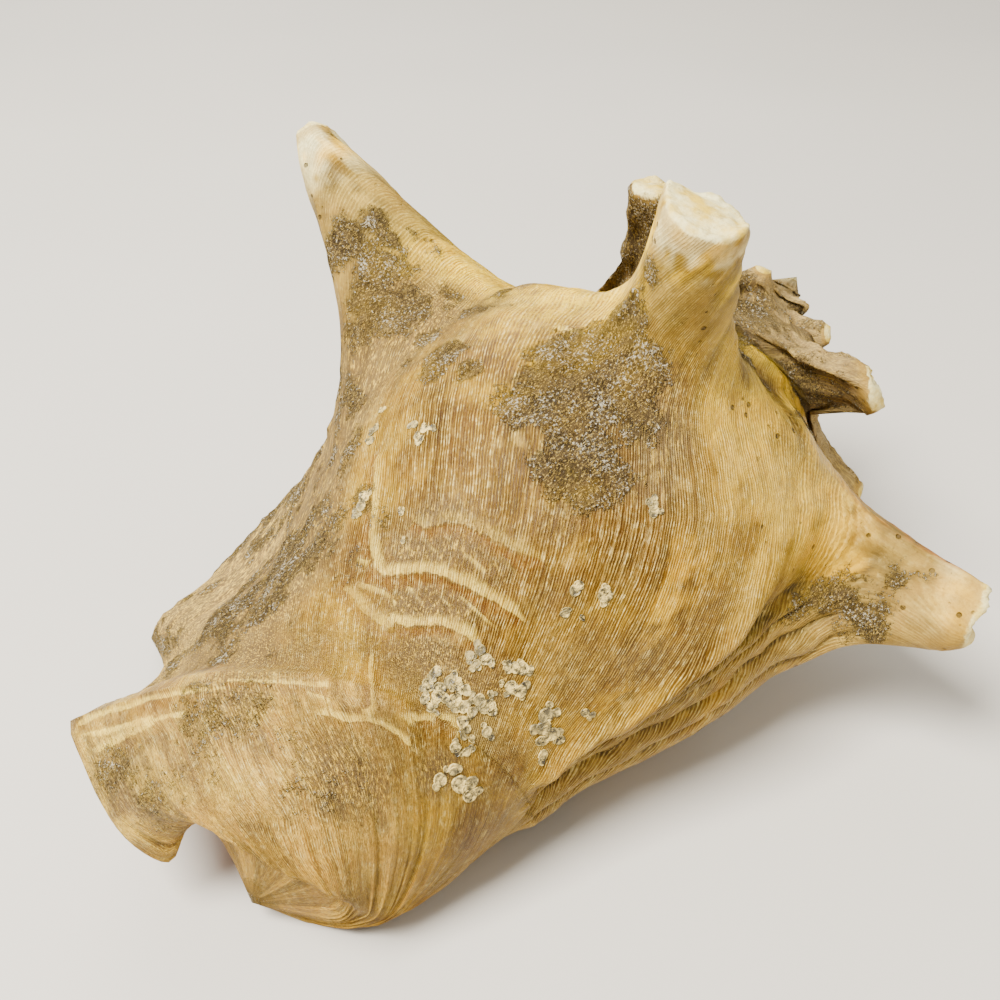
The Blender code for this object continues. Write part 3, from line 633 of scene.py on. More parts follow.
def column_angles():
    """Angles of the columns of the last whorl, dense where the eye is."""
    fine = np.linspace(LAST_TURN, LIP, 3601)
    keys = [span[0] for span in COLUMN_SPANS]
    density = np.interp(fine, keys, [span[1] for span in COLUMN_SPANS])
    density = np.where((fine > -30) & (fine < 160), COLUMN_SPANS[1][1], density)
    columns = 0.5 * (density[1:] + density[:-1]) * (fine[1] - fine[0])
    total = np.concatenate(([0.0], np.cumsum(columns)))
    count = int(round(total[-1]))
    return np.interp(np.linspace(0, total[-1], count + 1), total, fine)


def old_edges(places, normal, angle, row, ragged):
    """Relief and masks of the last whorl's old edges, cord, pale lines and folds."""
    reach = between(row, 2.4, 3.2, 9.0, 10.5)
    short_reach = between(row, 2.4, 3.2, 6.6, 9.0)
    canal_share = smoothstep(3.8, 5.2, row)
    wander = 3.4 * rough_noise(places, 15.0, 31, 3)
    height = 0.75 * CORD_HEIGHT * bell(row, RIDGE_ROW, CORD_WIDTH) * smoothstep(40, 100, angle)
    masks = {}
    for name, (at, width, by_spine, by_canal) in OLD_EDGES.items():
        short = name in ("crest", "cleft")
        wave = at + wander + (CREST_SPREAD * (1 - canal_share) if name == "crest" else 0)
        masks[name] = bell(angle, wave, width) * (short_reach if short else reach)
        height += (by_spine + (by_canal - by_spine) * canal_share) * masks[name]

    side = np.full(row.shape, FAR)
    pale = np.zeros(row.shape)
    band = np.zeros(row.shape)
    for line, width, lift, share, amber_share in LINES:
        gap = line_gap(places, normal, line) / width + 0.35 * ragged
        near = smoothstep(2.9, 2.0, np.abs(gap))
        height += lift * (1.5 * bell(gap, 0, 1) - 0.5 * bell(gap, 1.6, 0.8))
        closer = np.abs(gap) < np.abs(side)
        side = np.where(closer, gap, side)
        pale = np.where(closer, share * near, pale)
        band = np.where(closer, amber_share * near, band)
    masks.update({"side": side, "pale": pale, "band": band})

    # Folds along the underside, and the thin edge behind which a peach strip lies.
    masks["fold zone"] = between(angle, -36, -26, 2, 10) * between(row, 3.4, 4.4, 9.4, 10.4)
    fold_place = angle + 5.0 * rough_noise(places, 17.0, 33, 3)
    masks["folds"] = np.abs(np.sin(fold_place * math.pi / FOLD_STEP)) ** FOLD_ROUNDNESS
    height += masks["fold zone"] * FOLD_HEIGHT * (masks["folds"] - 0.6)
    strip = bell(angle, *STRIP)
    height += STRIP_EDGE * strip * bell(row, 1.9 + 0.15 * ragged, 0.07)
    masks["strip"] = strip * smoothstep(1.95, 1.75, row)
    return height, masks


def rib_pattern(places, angle, row, climb):
    """Bundles of growth lines, coarser on the ramp and on the fasciole.

    Gives the measure across the growth lines, the ribs, the coarse zone and the relief.
    """
    rise = (places - COLUMELLA_END) @ AXIS - LEAN_START
    leaning = LEAN_BEND * np.log1p(np.exp((rise + LEAN_FLOOR) / LEAN_BEND)) - LEAN_FLOOR
    across = 0.96 * angle - LEAN * leaning * smoothstep(150, 105, angle) + SPINE_LEAN * climb
    spot = np.stack((across, row * 1.2, np.zeros_like(row)), -1)
    middle, fine, broad = (lattice_noise(spot * (1, stretch, 1), size, seed) - 0.5
                           for stretch, size, seed in RIB_NOISES)
    ribs = 0.7 * middle + 0.5 * fine
    coarse_zone = np.clip(smoothstep(2.6, 1.6, row) + smoothstep(10.6, 11.8, row), 0, 1)
    coarse_zone = coarse_zone * smoothstep(14.4, 13.4, row)
    relief = ribs * (0.3 + 0.9 * coarse_zone) + broad * (0.45 + 0.7 * coarse_zone)
    return across, ribs, coarse_zone, relief


def wear(places, angle, row, climb, cap, on_spire=False):
    """Relief, worn places and colours of the outside, at a grid of places."""
    normal = surface_normal(places)
    angle, row = np.meshgrid(angle, row, indexing="ij")
    ragged = rough_noise(places, 7.0, 11, 4)
    coarse = rough_noise(places, 26.0, 21, 3)
    small = rough_noise(places, 3.2, 15, 2)
    zero = np.zeros(row.shape)
    if on_spire:
        height = zero.copy()
        edges = dict.fromkeys(("crest", "cleft", "pale", "band", "fold zone", "folds", "strip"),
                              zero)
        edges["side"] = zero + FAR
    else:
        height, edges = old_edges(places, normal, angle, row, ragged)
    across, ribs, coarse_zone, relief = rib_pattern(places, angle, row, climb)
    height += relief

    # Zones of the surface.
    tip = smoothstep(1.2, 1.0, cap + 0.25 * ragged)
    spine = smoothstep(0.12, 0.5, climb)
    margin = smoothstep(106, 124, angle + 20 * coarse) * between(row, 2.2, 3.4, 8.6, 9.4)
    margin = zero if on_spire else margin * smoothstep(0.4, 0.1, climb)
    canal_face = smoothstep(9.2, 9.9, row) * smoothstep(60, 90, angle)
    lip = smoothstep(163, 180, angle) * smoothstep(9.2, 8.4, row)
    fasciole = smoothstep(11.2, 12.0, row)
    right_part = smoothstep(64, 22, angle + 20 * coarse) * smoothstep(5.2, 3.4, row)
    top = smoothstep(4.5, 2.4, row + 0.8 * ragged) * smoothstep(20, 60, angle)
    low_zone = between(row, 6.0, 8.0, 9.0, 10.0) * between(angle, 14, 30, 55, 80)
    under = smoothstep(3, -3, angle)

    # Crust, brown and mauve growths, amber and chalk; the mauve mask also holds painted shade by
    # the foot of the column spine.
    crust = patch_mask(places, CRUST, 0.9 * ragged)
    brown = patch_mask(places, BROWN, ragged)
    bloom_and_shade = patch_mask(places, BLOOM_AND_SHADE, 0.8 * ragged)
    amber = patch_mask(places, AMBER, 1.1 * ragged)
    chalk = patch_mask(places, CHALK, 0.8 * ragged) * smoothstep(-0.12, 0.16, ribs + 0.6 * small)
    if on_spire:
        more = (0.3 + 0.6 * ragged + 0.3 * coarse,
                bell(angle, REAR_SPINE, 40.0) + 0.3 * ragged,
                0.45 * smoothstep(2.85, 2.95, row) + 0.5 * ragged)
    else:
        unseen = 1 - smoothstep(-30, -12, angle) * smoothstep(0.8, 1.6, row)
        more = (smoothstep(1.5, 0.7, row) * smoothstep(-0.35, 0.1, coarse + 0.5 * ragged),
                0.6 * unseen * smoothstep(0.02, 0.3, coarse + 0.35 * ragged),
                0.78 * margin * smoothstep(-0.25, 0.25, ragged + 0.5 * coarse))
    crust = np.clip(np.maximum.reduce((crust, *more)), 0, 1) * (1 - tip)

    # Colours, from the large ones to the small ones, and their masks.
    layers = [
        ("dark amber", 0.95 * smoothstep(-0.1, 0.2, coarse + 0.5 * ragged)),
        ("light gold", 0.85 * smoothstep(0.0, -0.3, coarse + 0.6 * ragged)),
        ("fan cream", 0.9 * right_part * smoothstep(-0.35, 0.1, ragged + 0.25)),
        ("beige", 0.6 * right_part * smoothstep(0.0, 0.3, coarse - 0.3 * ragged)),
        ("top yellow", 0.9 * top * smoothstep(-0.4, 0.0, ragged + 0.2)),
        ("spine tan", 0.95 * spine * smoothstep(-0.55, 0.0, coarse + ragged)),
        ("spine brown", 0.6 * spine * smoothstep(-0.05, -0.35, ragged + 0.6 * ribs)),
        ("white", 0.95 * smoothstep(0.66, 0.9, climb) * smoothstep(-0.4, 0.0, ragged + small)),
        ("margin tan", 0.9 * margin * (1 - spine)),
        ("mauve", 0.6 * margin * smoothstep(-0.05, 0.3, ragged - 0.3 * coarse)),
        ("canal tan", 0.8 * canal_face),
        ("canal brown", 0.9 * canal_face * smoothstep(0.0, 0.2, ragged + 0.5 * coarse)),
        ("canal cream", 0.85 * canal_face * smoothstep(-0.02, -0.22, ragged - 0.5 * coarse)),
        ("fasciole tan", 0.8 * fasciole),
        ("cream", 0.8 * fasciole * smoothstep(-0.05, 0.25, ragged + 0.8 * ribs)),
        ("ochre", 0.6 * fasciole * smoothstep(0.05, 0.3, -ragged - 0.5 * ribs)),
        ("lip tan", 0.9 * lip),
        ("low beige", 0.8 * low_zone * smoothstep(-0.35, 0.1, ragged)),
        ("under tan", 0.85 * under),
        # Painted shade: dark brown in the troughs of the folds.
        ("fold trough shade", 0.85 * edges["fold zone"] * smoothstep(0.62, 0.3, edges["folds"])),
        ("cream", 0.8 * edges["crest"] * smoothstep(-0.2, 0.1, ribs + ragged)),
        # Painted shade: dark brown in the cleft's groove, under the crest's overhang.
        ("cleft shade brown", 0.92 * edges["cleft"] ** 0.7 * (1 - 0.4 * smoothstep(0.1, 0.3, ragged))),
        ("dark amber", amber * (0.9 - 0.5 * spine)),
        ("strip peach", 0.8 * edges["strip"] * smoothstep(-0.3, 0.1, ragged + 0.8 * ribs + 0.15)),
        ("chalk", 0.65 * chalk),
        ("mauve", 0.8 * bloom_and_shade),
        # Mauve growth, with painted shade by the foot of the column spine.
        ("fuzz", 0.7 * brown),
    ]
    if on_spire:
        layers += [
            ("spire grey", zero + 0.92),
            ("rear brown", 0.95 * bell(angle, REAR_SPINE, 30.0) * (1 - tip)),
            ("fringe brown", 0.6 * smoothstep(2.8, 2.95, row + 0.2 * ragged)),
        ]
    else:
        layers.append(("crust brown", crust * smoothstep(-0.3, 0.2, coarse + ragged)))
    colour = np.broadcast_to(COLOURS["gold"], places.shape)
    for name, mask in layers:
        colour = blend(colour, COLOURS[name], mask)
    colour = colour * (1 + 0.5 * small + 0.55 * ribs * (1 + coarse_zone))[..., None]

    # Lumps of the crust, broken tips, pits and dents.
    lumps = rough_noise(places, 2.6, 51, 3)
    height += crust * (0.2 + 1.3 * lumps) + (0.55 * brown + 0.3 * bloom_and_shade + 0.5 * margin) * lumps
    height += 0.9 * coarse * smoothstep(0.2, 0.6, row) + 0.35 * ragged
    height += tip * (0.9 * rough_noise(places, 5.0, 71, 3) + 0.5 * small)
    height += bell(cap, 0.95, 0.16) * (0.25 + 1.3 * rough_noise(places, 4.5, 72, 2))
    if on_spire:
        height += 0.8 * ribs + ragged + 1.6 * rough_noise(places, 9.0, 75, 2)
        edge = smoothstep(0.0, 0.25, row)
    else:
        edge = smoothstep(0.0, 0.35, row) * smoothstep(POLE_ROW - 0.2, POLE_ROW - 1.2, row)

    known = {
        "red": colour[..., 0], "green": colour[..., 1], "blue": colour[..., 2],
        "across": across + 5.0 * canal_face * rough_noise(places, 14.0, 61, 3),
        "along": row * ROW_LENGTH,
        "thread": (1 - 0.5 * crust) * (1 - 0.5 * lip) * (1 - 0.45 * right_part)
        * (1 - 0.65 * spine) * (1 - 0.4 * margin),
        "crust": crust + 0.5 * brown,
        "bloom_and_shade": bloom_and_shade + 0.6 * on_spire + 0.3 * canal_face + 0.35 * lip + 0.3 * brown
        + 0.8 * margin,
        "gloss": 1 - crust - 0.7 * chalk - 0.6 * lip - 0.5 * fasciole - 0.5 * spine - 0.7 * margin,
        "cap": np.minimum(cap, NO_CAP), "side": np.clip(edges["side"], -FAR, FAR),
        "pale": edges["pale"], "band": edges["band"],
        "pit": smoothstep(0.1, 0.4, climb + 0.7 * right_part) * (1 - crust) * (1 - tip),
    }
    for name in ("thread", "crust", "bloom_and_shade", "gloss"):
        known[name] = np.clip(known[name], 0, 1)
    return places + normal * (height * edge)[..., None], known


def inner_fields(places, row):
    """What is known on the inside of the shell."""
    cloud = rough_noise(places, 22.0, 81, 3)
    colour = blend(np.broadcast_to(COLOURS["pink"], places.shape), COLOURS["peach"],
                   smoothstep(-0.2, 0.4, cloud) * 0.8)
    colour = blend(colour, WHITE, 0.5 * smoothstep(0.0, 0.4, -cloud))
    zero = np.zeros(places.shape[:2])
    known = dict.fromkeys(Surface.FIELDS, zero)
    known.update({"red": colour[..., 0], "green": colour[..., 1], "blue": colour[..., 2],
                  "along": zero + row * ROW_LENGTH, "gloss": zero + 1, "cap": zero + NO_CAP,
                  "side": zero + FAR})
    return known


def pick(fields, key):
    return {name: (value[key] if np.ndim(value) else value) for name, value in fields.items()}


def shell_surface():
    """The whole closed surface: spire, last whorl, hollow and lip."""
    surface = Surface()
    rows = row_samples(GROWTH_LINE_STEPS)
    outer = int(np.argmin(np.abs(rows - NEXT_SUTURE_ROW)))
    inner = outer + 1
    last = len(rows) - 1
    angles = column_angles()
    count = len(angles)

    body, climb, cap = add_spines(whorl(angles, rows), angles)
    body, fields = wear(body, angles, rows, climb, cap)
    body[..., 2] = np.maximum(body[..., 2], FLOOR)
    ids = np.zeros((count, len(rows)), int)
    known = pick(fields, (slice(None), slice(0, last)))
    ids[:, :last] = surface.add(body[:, :last], known).reshape(count, last)
    ids[:, last] = surface.add(place(POLE), pick(fields, (slice(0, 1), slice(last, last + 1))))[0]
    ids[-1, 0] = ids[0, outer]
    surface.grid(ids)
    add_spire(surface, ids, angles, rows[:outer + 1])

    picked = np.array([i for i in range(count) if angles[i] > HOLLOW_END])
    picked = picked[::-1][::HOLLOW_STRIDE][::-1]
    wall_angle = angles[picked] - 360.0
    wall = whorl(wall_angle, rows[inner:])
    covered = smoothstep(LAST_TURN - UNCOVERED_SPAN, LAST_TURN, wall_angle)[:, None, None]
    wall += (add_spines(wall, wall_angle)[0] - wall) * covered
    wall_ids = np.zeros(wall.shape[:2], int)
    known = inner_fields(wall[:-1], rows[inner:])
    wall_ids[:-1] = surface.add(wall[:-1], known).reshape(len(picked) - 1, -1)
    wall_ids[-1] = ids[0, inner:]
    surface.grid(wall_ids)

    bare = whorl(angles, rows)
    inside = inner_side(bare[picked], surface_normal(bare)[picked], wall, rows)
    hollow = np.zeros(inside.shape[:2], int)
    known = pick(inner_fields(inside, rows), (slice(None), slice(1, last)))
    hollow[:, 1:last] = surface.add(inside[:, 1:last], known).reshape(len(picked), -1)
    hollow[:, 0] = wall_ids[:, 0]
    hollow[:, last] = wall_ids[:, -1]
    surface.grid(hollow[:, ::-1])

    # The lip's edge is rounded over by one more chain of points.
    forward = body[-1] - body[-3]
    forward /= np.maximum(np.linalg.norm(forward, axis=1, keepdims=True), 1e-9)
    gap = np.linalg.norm(body[-1] - inside[-1], axis=1, keepdims=True)
    middle = 0.5 * (body[-1] + inside[-1]) + forward * gap * EDGE_ROUNDNESS
    middle[:, 2] = np.maximum(middle[:, 2], FLOOR)
    known = pick(fields, (slice(-1, None), slice(1, last)))
    for name, value in zip(("red", "green", "blue"), WHITE):
        known[name] = known[name] + (value - known[name]) * EDGE_PALENESS
    edge_ids = hollow[-1].copy()
    edge_ids[1:last] = surface.add(middle[1:last], known)
    surface.grid(np.stack((ids[-1], edge_ids)))
    surface.grid(np.stack((edge_ids, hollow[-1])))
    surface.zip(hollow[0], wall_ids[0])
    return surface


def add_spire(surface, later_ids, angles, rows):
    """The whorls of the spire, from the last whorl inwards to the tip."""
    outer = len(rows) - 1
    zero = {name: 0.0 for name in Surface.FIELDS}
    zero.update({"red": WHITE[0], "green": WHITE[1], "blue": WHITE[2], "side": FAR})
    tip = surface.add(SPIRE_TIP, zero)[0]
    first_column = later_ids[0, :outer + 1]
    later_row = later_ids[:, 0]
    later_angle = angles - 360.0
    per_turn = np.linspace(0.0, 360.0, 361)
    share = np.linspace(0.0, 1.0, FRINGE_ROWS + 2)[1:-1]
    fringe = rows[outer - 1] + 0.9 * share * (rows[outer] - rows[outer - 1])
    all_rows = np.concatenate((rows[:outer], fringe))
    for turn in range(1, SPIRE_TURNS + 1):
        chosen = per_turn[::SPIRE_STRIDES[turn - 1]]
        angle = LAST_TURN - 360.0 * turn + chosen
        places, climb, cap = add_spines(whorl(angle, rows), angle)

        # Under the spines the surface runs back to the seam of the later whorl.
        known = np.concatenate(surface.points)[later_row]
        seam = np.stack([np.interp(angle, later_angle, known[:, axis]) for axis in range(3)], -1)
        start = places[:, outer - 1]
        under = start[:, None] + (seam - start)[:, None] * share[:, None]
        inward = seam + (SPIRE_TIP - seam) * 0.06
        under = under + (inward - seam)[:, None] * (4 * share * (1 - share))[:, None]
        places = np.concatenate((places[:, :outer], under), 1)
        climb = np.concatenate((climb[:, :outer], climb[:, outer - 1:outer] * (1 - share)), 1)
        cap = np.concatenate((cap[:, :outer], cap[:, outer - 1:outer] + 3 * share), 1)
        places, fields = wear(places, angle, all_rows, climb, cap, on_spire=True)
        if turn == SPIRE_TURNS:
            opened = smoothstep(*FIRST_WHORL_SPAN, chosen)[:, None, None]
            places = SPIRE_TIP + (places - SPIRE_TIP) * opened
        ids = np.zeros((len(angle), len(all_rows)), int)
        ids[:-1] = surface.add(places[:-1], pick(fields, slice(0, -1))).reshape(len(angle) - 1, -1)
        ids[-1, :outer] = first_column[:outer]
        if turn == SPIRE_TURNS:
            ids[:-1, 0] = tip
            ids[0] = tip
        for end in (0, -1):
            ids[end, outer:] = ids[end, outer - 1]
        surface.grid(ids)
        surface.zip(ids[:, -1], later_row)
        first_column = ids[0]
        later_row = ids[:, 0]
        later_angle = angle - 360.0


def inner_side(outside, normal, wall, rows):
    """Inner side of the wall: the outside set back by its thickness."""
    thickness = WALL * (1 - TIP_THINNING * smoothstep(RIDGE_ROW + 0.5, RIDGE_ROW + 2.5, rows))
    result = outside - thickness[None, :, None] * normal
    lowest = np.where(rows > RIDGE_ROW, FLOOR + FLOOR_WALL, FLOOR)
    result[..., 2] = np.maximum(result[..., 2], lowest)
    top = np.clip(1 - rows / 1.0, 0, 1)[None, :, None] ** 2
    result = result * (1 - top) + wall[:, :1] * top
    foot = smoothstep(FOOT_START, POLE_ROW, rows)[None, :, None]
    return result * (1 - foot) + wall[:, -1:] * foot


def finished_mesh(name, points, faces, fields=None, names=()):
    """A smooth mesh in metres, with its fields as attributes and its faces turned out."""
    mesh = bpy.data.meshes.new(name)
    points = np.array(points, float)
    points[:, 2] = np.maximum(points[:, 2], FLOOR)
    mesh.from_pydata(((points - ORIGIN) * MM).tolist(), [], faces)
    for index, field in enumerate(names):
        attribute = mesh.attributes.new(field, "FLOAT", "POINT")
        attribute.data.foreach_set("value", np.ascontiguousarray(fields[:, index], np.float32))
    edit = bmesh.new()
    edit.from_mesh(mesh)
    loose = [vertex for vertex in edit.verts if not vertex.link_faces]
    bmesh.ops.delete(edit, geom=loose, context="VERTS")
    bmesh.ops.recalc_face_normals(edit, faces=edit.faces)
    edit.to_mesh(mesh)
    edit.free()
    mesh.shade_smooth()
    return mesh


def link(name, mesh, material):
    piece = bpy.data.objects.new(name, mesh)
    bpy.context.scene.collection.objects.link(piece)
    mesh.materials.append(material)
    return piece


# Stage, in metres: floor, world colour and strength, lights as (name, place, size, watts),
# and the camera's place, aim, angle of view in degrees and sensor in millimetres.
FLOOR_SIZE = 4.0
WORLD_LIGHT = ((0.90, 0.89, 0.87, 1.0), 0.62)
LIGHTS = (
    ("key", (-0.5, 0.0, 0.88), 0.4, 36.0),
    ("fill", (0.8, -0.5, 0.5), 0.6, 3.5),
    ("back", (0.3, 0.8, 0.7), 0.6, 9.0),
)
LIGHT_AIM = 0.05
CAMERA_SPOT = (-0.1484, -0.1638, 0.2219)
CAMERA_AIM = (-0.0074, -0.0027, 0.0600)
VIEW_ANGLE, SENSOR = 46.4, 36.0


class Graph:
    """Short hand for a node material."""

    def __init__(self, name):
        self.material = bpy.data.materials.new(name)
        self.material.use_nodes = True
        self.tree = self.material.node_tree
        self.shader = self.tree.nodes["Principled BSDF"]

    def node(self, kind, **settings):
        node = self.tree.nodes.new(kind)
        for key, value in settings.items():
            setattr(node, key, value)
        return node

    def put(self, socket, value):
        if isinstance(value, bpy.types.NodeSocket):
            self.tree.links.new(value, socket)
        elif value is not None:
            socket.default_value = value

    def field(self, name):
        return self.node("ShaderNodeAttribute", attribute_name=name).outputs["Fac"]

    def place(self):
        return self.node("ShaderNodeTexCoord").outputs["Object"]

    def math(self, operation, first, second=None):
        node = self.node("ShaderNodeMath", operation=operation)
        self.put(node.inputs[0], first)
        self.put(node.inputs[1], second)
        return node.outputs[0]

    def times(self, first, *others):
        for other in others:
            first = self.math("MULTIPLY", first, other)
        return first

    def plus(self, first, *others):
        for other in others:
            first = self.math("ADD", first, other)
        return first

    def rest(self, value):
        return self.math("SUBTRACT", 1.0, value)

    def swing(self, noise, strength):
        """Noise around zero, of the given strength."""
        return self.times(self.math("SUBTRACT", noise, 0.5), strength)

    def span(self, value, low, high, start=0.0, end=1.0):
        node = self.node("ShaderNodeMapRange", interpolation_type="SMOOTHSTEP")
        for name, setting in (("Value", value), ("From Min", low), ("From Max", high),
                              ("To Min", start), ("To Max", end)):
            self.put(node.inputs[name], setting)
        return node.outputs["Result"]

    def vector(self, x, y, z):
        node = self.node("ShaderNodeCombineXYZ")
        for socket, value in zip(node.inputs, (x, y, z)):
            self.put(socket, value)
        return node.outputs[0]

    def noise(self, vector, scale, detail=3.0, rough=0.6):
        node = self.node("ShaderNodeTexNoise")
        for name, value in (("Vector", vector), ("Scale", scale), ("Detail", detail),
                            ("Roughness", rough)):
            self.put(node.inputs[name], value)
        return node.outputs["Fac"]

    def mix(self, factor, first, second, kind="MIX"):
        """Mix of two colours, each a socket, a colour or the name of one."""
        node = self.node("ShaderNodeMix", data_type="RGBA", blend_type=kind)
        self.put(node.inputs["Factor"], factor)
        for index, value in ((6, first), (7, second)):
            if isinstance(value, str):
                value = (*COLOURS[value].tolist(), 1.0)
            self.put(node.inputs[index], value)
        return node.outputs[2]

    def bump(self, height, distance, under=None):
        node = self.node("ShaderNodeBump")
        node.inputs["Strength"].default_value = 1.0
        node.inputs["Distance"].default_value = distance
        self.put(node.inputs["Height"], height)
        self.put(node.inputs["Normal"], under)
        return node.outputs["Normal"]


def shell_material():
    """Worn shell: fine growth threads with painted highlight and glints, mauve bloom and painted
    shade, crust and chalk over the painted tint.
    """
    g = Graph("worn_shell")
    place_node = g.place()
    tint = g.node("ShaderNodeCombineColor")
    for name, socket in zip(("red", "green", "blue"), tint.inputs):
        g.put(socket, g.field(name))
    tint = tint.outputs[0]
    across, along, thread_share, crust, bloom_and_shade, gloss, cap, side, pale, band, pit = (
        g.field(name) for name in ("across", "along", "thread", "crust", "bloom_and_shade", "gloss", "cap",
                                   "side", "pale", "band", "pit"))
    grain = g.noise(place_node, 1100.0, 3.0, 0.65)
    cloud = g.noise(place_node, 130.0, 4.0, 0.6)
    speck = g.noise(place_node, 1700.0, 2.0, 0.75)
    clump = g.noise(place_node, 380.0, 3.0, 0.7)

    tip_gap = g.plus(cap, g.swing(clump, 0.30))
    capped = g.span(tip_gap, 1.12, 1.02)
    thread_share = g.times(thread_share, g.rest(capped))

    # Growth threads: long thin noise along the growth line, over an even wave.
    moved = g.plus(across, g.swing(g.noise(place_node, 90.0, 2.0), 1.3))
    long_lines = g.noise(g.vector(moved, g.times(along, 0.05), 0.0), 1.8, 1.0, 0.4)
    fine_lines = g.noise(g.vector(moved, g.times(along, 0.3), 3.0), 3.6, 1.0, 0.5)
    wave = g.math("SINE", g.times(moved, 2 * math.pi / THREAD_STEP))
    lines = g.plus(g.times(wave, 0.20), g.plus(long_lines, g.swing(fine_lines, 0.9)))
    threads = g.span(lines, 0.36, 0.86)
    gaps = g.span(lines, 0.52, 0.18)
    # Painted glints: specks of painted highlight along the raised threads.
    painted_glint = g.times(threads, g.span(g.noise(place_node, 700.0, 2.0, 0.6), 0.46, 0.68))

    # Pale line with a band of amber on its lower side.
    side = g.plus(side, g.swing(clump, 1.3))
    pale = g.times(g.span(side, -1.3, -0.1), g.span(side, 0.75, 0.45), pale,
                   g.span(threads, 0.0, 0.8, 0.7, 1.0))
    band = g.times(g.span(side, 0.5, 1.2), g.span(side, 3.2, 2.2), band)
    base = g.mix(g.times(band, 0.85), tint, "band amber")
    base = g.mix(g.times(pale, 0.8), base, "lemon")

    # The threads' own light and dark colours, with painted highlight on the raised threads, painted
    # shade in the gaps and painted glints.
    dark = g.mix(1.0, base, (0.44, 0.34, 0.20, 1.0), "MULTIPLY")
    base = g.mix(g.times(gaps, thread_share, 0.95), base, dark)
    base = g.mix(g.times(threads, thread_share, 0.30), base, "straw")
    base = g.mix(g.times(painted_glint, thread_share, 0.55), base, "highlight ivory")
    dark = g.mix(1.0, base, (0.74, 0.62, 0.46, 1.0), "MULTIPLY")
    base = g.mix(g.span(cloud, 0.4, 0.7, 0.0, 0.55), base, dark)
    base = g.mix(g.span(cloud, 0.42, 0.24, 0.0, 0.3), base, "straw")

    # Bloom, and the painted shade by the foot of the column spine: broken beads of light on mauve
    # brown.
    beads = g.noise(g.vector(moved, g.times(along, 0.9), 7.0), 1.9, 2.0, 0.7)
    bloom_and_shade = g.times(bloom_and_shade, g.rest(g.math("MAXIMUM", band, pale)))
    base = g.mix(g.times(bloom_and_shade, g.span(beads, 0.40, 0.62, 1.0, 0.2), 0.85), base, "bloom brown")
    base = g.mix(g.times(bloom_and_shade, g.span(beads, 0.56, 0.66, 0.0, 0.8)), base, "bead")

    # Broken tips: pale, faintly green, with a browner rim.
    face = g.mix(g.span(cloud, 0.35, 0.65), "white", "tip cream")
    face = g.mix(g.span(clump, 0.5, 0.75, 0.0, 0.6), face, "tip tan")
    rim = g.times(g.span(tip_gap, 1.0, 1.15), g.span(tip_gap, 1.6, 1.3), 0.55)
    base = g.mix(rim, base, "rim tan")
    base = g.mix(g.times(capped, 0.95), base, face)

    # Crust: dark fuzz with pale needles and specks.
    needle_place = g.node("ShaderNodeVectorMath", operation="MULTIPLY")
    g.put(needle_place.inputs[0], place_node)
    needle_place.inputs[1].default_value = (1.0, 1.9, 0.8)
    needles = g.noise(needle_place.outputs[0], 1500.0, 3.0, 0.85)
    fuzz = g.mix(g.span(clump, 0.35, 0.65), "crust dark", "crust light")
    fuzz = g.mix(g.span(needles, 0.52, 0.63, 0.0, 0.85), fuzz, "needle")
    specks = g.span(g.plus(speck, g.times(cloud, 0.6)), 0.86, 1.0, 0.0, 0.95)
    fuzz = g.mix(0.2, g.mix(specks, fuzz, "speck"), tint)
    crust_part = g.span(g.plus(crust, g.plus(g.swing(clump, 1.5), g.swing(speck, 0.9))), 0.34, 0.78)
    base = g.mix(g.times(crust_part, 0.93), base, fuzz)

    # Small pits, and the fine grain darker where its bump is low.
    dots = g.node("ShaderNodeTexVoronoi")
    g.put(dots.inputs["Vector"], place_node)
    g.put(dots.inputs["Scale"], PIT_SCALE)
    pits = g.times(g.span(dots.outputs["Distance"], 0.24, 0.12), g.span(cloud, 0.52, 0.6), pit)
    base = g.mix(g.times(pits, 0.75), base, "pit brown")
    dark = g.mix(1.0, base, (0.5, 0.42, 0.32, 1.0), "MULTIPLY")
    base = g.mix(g.span(grain, 0.3, 0.6, 0.35, 0.0), base, dark)
    g.put(g.shader.inputs["Base Color"], base)

    rough = g.plus(g.span(gloss, 0.0, 1.0, 0.80, 0.40), g.swing(grain, 0.4),
                   g.times(crust_part, 0.3))
    g.put(g.shader.inputs["Roughness"], g.math("MINIMUM", rough, 1.0))
    g.shader.inputs["Specular IOR Level"].default_value = 0.28
    g.shader.inputs["Specular Tint"].default_value = (1.0, 0.80, 0.45, 1.0)
    normal = g.bump(g.times(threads, thread_share), 0.00026)
    normal = g.bump(g.times(g.plus(needles, clump), g.plus(crust_part, 0.10)), 0.0009, normal)
    normal = g.bump(g.times(g.plus(grain, beads), g.plus(0.35, bloom_and_shade)), 0.00022, normal)
    normal = g.bump(g.rest(pits), 0.0006, normal)
    g.put(g.shader.inputs["Normal"], normal)
    return g.material


